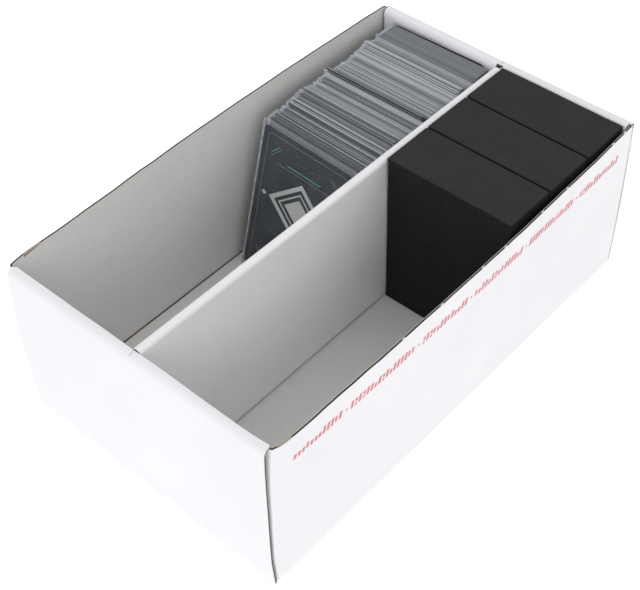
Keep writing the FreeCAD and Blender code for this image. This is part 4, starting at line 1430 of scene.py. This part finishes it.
# ---------------------------------------------------------------------------
# Foam spacer blocks
# ---------------------------------------------------------------------------
def foam_material():
    m = Mat("foam_black", IOR=1.45, Specular_IOR_Level=0.12)
    pore = m.voronoi(1150.0)
    pore2 = m.voronoi(2300.0, co=m.mapped((1, 1, 1), loc=(0.3, 0.7, 0.1)))
    cloud = m.noise(40.0, 4.0, 0.6)
    c = m.mix(m.rng(cloud, 0.3, 0.7, 0.0, 1.0), (0.0335, 0.0335, 0.0340), (0.0395, 0.0392, 0.0390))
    c = m.mix(m.rng(pore, 0.0, 0.45, 0.40, 0.0), c, (0.018, 0.018, 0.018))
    # a little pale lint and rubbed skin
    lint = m.noise(130.0, 6.0, 0.75, co=m.mapped((1.0, 0.5, 1.0), rot=(0, 0, 0.6)))
    c = m.mix(m.rng(lint, 0.70, 0.80, 0.0, 0.20), c, (0.13, 0.13, 0.13))
    # painted shade: the sides and the underside are darkened towards black and the top is kept as it is, to stand in
    # for the weaker light on the sides
    c = m.mix(m.rng(m.attr("tone"), 0.35, 0.95, 0.50, 0.0), c, (0.0, 0.0, 0.0))
    m.color(c)
    m.rough(m.rng(m.noise(300.0, 3.0, 0.6), 0.3, 0.7, 0.74, 0.88))
    n1 = m.bump(pore, 0.00016, 0.75)
    n2 = m.bump(pore2, 0.00008, 0.6, n1)
    m.normal(m.bump(m.noise(90.0, 3.0, 0.6), 0.0003, 0.35, n2))
    return m.m


FOAM = foam_material()


def foam_block(name, body, y0, y1, seed):
    lo = np.array([3.95, y0, 1.8])
    hi = np.array([80.05, y1, 100.6])
    r = 0.7
    ax = []
    for k in range(3):
        n = max(6, int((hi[k] - lo[k]) / 2.6))
        ax.append(np.unique(np.concatenate([lo[k] + r * np.array([0, 0.18, 0.42, 0.7, 1.0]), np.linspace(lo[k] + r, hi[k] - r, n),
                                            hi[k] - r * np.array([0, 0.18, 0.42, 0.7, 1.0])])))
    w1, w2, w3 = wander(seed, 14.0, -10, 140, 0.16), wander(seed + 1, 11.0, -10, 140, 0.13), wander(seed + 2, 4.0, -10, 140, 0.05)
    nodes = []
    b = Build(name, body, [name], "foam_black", [FOAM])
    mid = (lo + hi) / 2
    half = (hi - lo) / 2

    def warp(p):
        c = np.clip(p, lo + r, hi - r)
        d = p - c
        L = np.linalg.norm(d, axis=-1, keepdims=True)
        q = c + np.where(L > 1e-9, d / np.maximum(L, 1e-9) * np.minimum(L, r) ** 1.0, 0)
        # rounded shell: points on the surface keep the distance r from the inner box
        on = L[..., 0] > 1e-9
        q = np.where(on[..., None], c + d / np.maximum(L, 1e-9) * r, q)
        t = (q - mid) / half
        out = q.copy()
        out[..., 0] -= t[..., 0] * (0.10 + np.abs(w1(q[..., 2]) + w3(q[..., 1])))
        out[..., 1] -= t[..., 1] * (0.05 + np.abs(w2(q[..., 0]) * 0.6 + w3(q[..., 2])))
        out[..., 2] -= np.clip(t[..., 2], 0, 1) * (0.10 + np.abs(w2(q[..., 0]) + w1(q[..., 1]) * 0.6)) * 0.9
        # squeezed by the divider, and springing back above it
        out[..., 0] -= 0.75 * np.clip(-t[..., 0], 0, 1) ** 8 * sstep(q[..., 2], 97.4, 98.8)
        return out, np.clip(np.where(on, d[..., 2] / np.maximum(L[..., 0], 1e-9), 0.0), 0.0, 1.0)
    for k in range(3):
        i, j = [a for a in range(3) if a != k]
        for v in (lo[k], hi[k]):
            A, B = np.meshgrid(ax[i], ax[j], indexing="ij")
            P = np.zeros(A.shape + (3,))
            P[..., i], P[..., j], P[..., k] = A, B, v
            # warp also returns the up-facing fraction, stored as tone, which the foam material uses to paint shade on
            # the sides
            Q, up = warp(P)
            s = b.verts(Q, up.reshape(-1))
            idx = s + np.arange(A.size).reshape(A.shape)
            q = np.stack([idx[:-1, :-1], idx[1:, :-1], idx[1:, 1:], idx[:-1, 1:]], -1).reshape(-1, 4)
            b.faces(q, FOAM)
    ob = b.make(angle=60.0, weld=0.002)
    return ob


foam_block("foam_spacer_front", "spacer_front", 34.9, 67.0, 601)
foam_block("foam_spacer_middle", "spacer_middle", 67.8, 99.8, 611)
foam_block("foam_spacer_rear", "spacer_rear", 100.6, 132.8, 621)


# ---------------------------------------------------------------------------
# Studio: pale floor, soft light
# ---------------------------------------------------------------------------
SKY = (0.485, 0.99)


def studio():
    me = bpy.data.meshes.new("studio_floor")
    s = 6.0
    me.from_pydata([(-s, -s, 0), (s, -s, 0), (s, s, 0), (-s, s, 0)], [], [(0, 1, 2, 3)])
    fl = bpy.data.objects.new("studio_floor", me)
    scene.collection.objects.link(fl)
    fl.location = (0, 0, -0.0002)
    m = Mat("studio_floor", Specular_IOR_Level=0.1)
    n = m.noise(3.0, 2.0, 0.5)
    m.color(m.mix(n, (0.40, 0.40, 0.40), (0.42, 0.42, 0.42)))
    m.rough(m.rng(n, 0.0, 1.0, 0.85, 0.95))
    m.b.inputs["Emission Color"].default_value = (1, 1, 1, 1)
    m.b.inputs["Emission Strength"].default_value = 0.86
    me.materials.append(m.m)
    w = bpy.data.worlds.new("studio")
    w.use_nodes = True
    scene.world = w
    nt = w.node_tree
    bg = nt.nodes["Background"]
    tc = nt.nodes.new("ShaderNodeTexCoord")
    sp = nt.nodes.new("ShaderNodeSeparateXYZ")
    mr = nt.nodes.new("ShaderNodeMapRange")
    nt.links.new(tc.outputs["Generated"], sp.inputs[0])
    nt.links.new(sp.outputs["Z"], mr.inputs["Value"])
    for k, v in (("From Min", 0.0), ("From Max", 1.0), ("To Min", SKY[0]), ("To Max", SKY[1])):
        mr.inputs[k].default_value = v
    bg.inputs[0].default_value = (1.0, 1.0, 1.0, 1)
    nt.links.new(mr.outputs[0], bg.inputs[1])

    def area(name, loc, target, size, power, color=(1, 1, 1)):
        d = bpy.data.lights.new(name, "AREA")
        d.shape = "RECTANGLE"
        d.size, d.size_y = size
        d.energy = power
        d.color = color
        o = bpy.data.objects.new(name, d)
        scene.collection.objects.link(o)
        o.location = loc
        o.rotation_mode = "QUATERNION"
        o.rotation_quaternion = (Vector(target) - Vector(loc)).to_track_quat("-Z", "Y")
        return o
    area("soft_right", (1.8, -1.45, 1.1), (0, -0.08, 0.05), (1.4, 1.1), 8.0)
    area("soft_front", (-0.3, -2.2, 0.9), (0, 0, 0.05), (1.6, 1.2), 4.0)
    area("soft_back", (0.2, 1.9, 1.6), (0, 0, 0.05), (1.6, 1.0), 1.6)


studio()
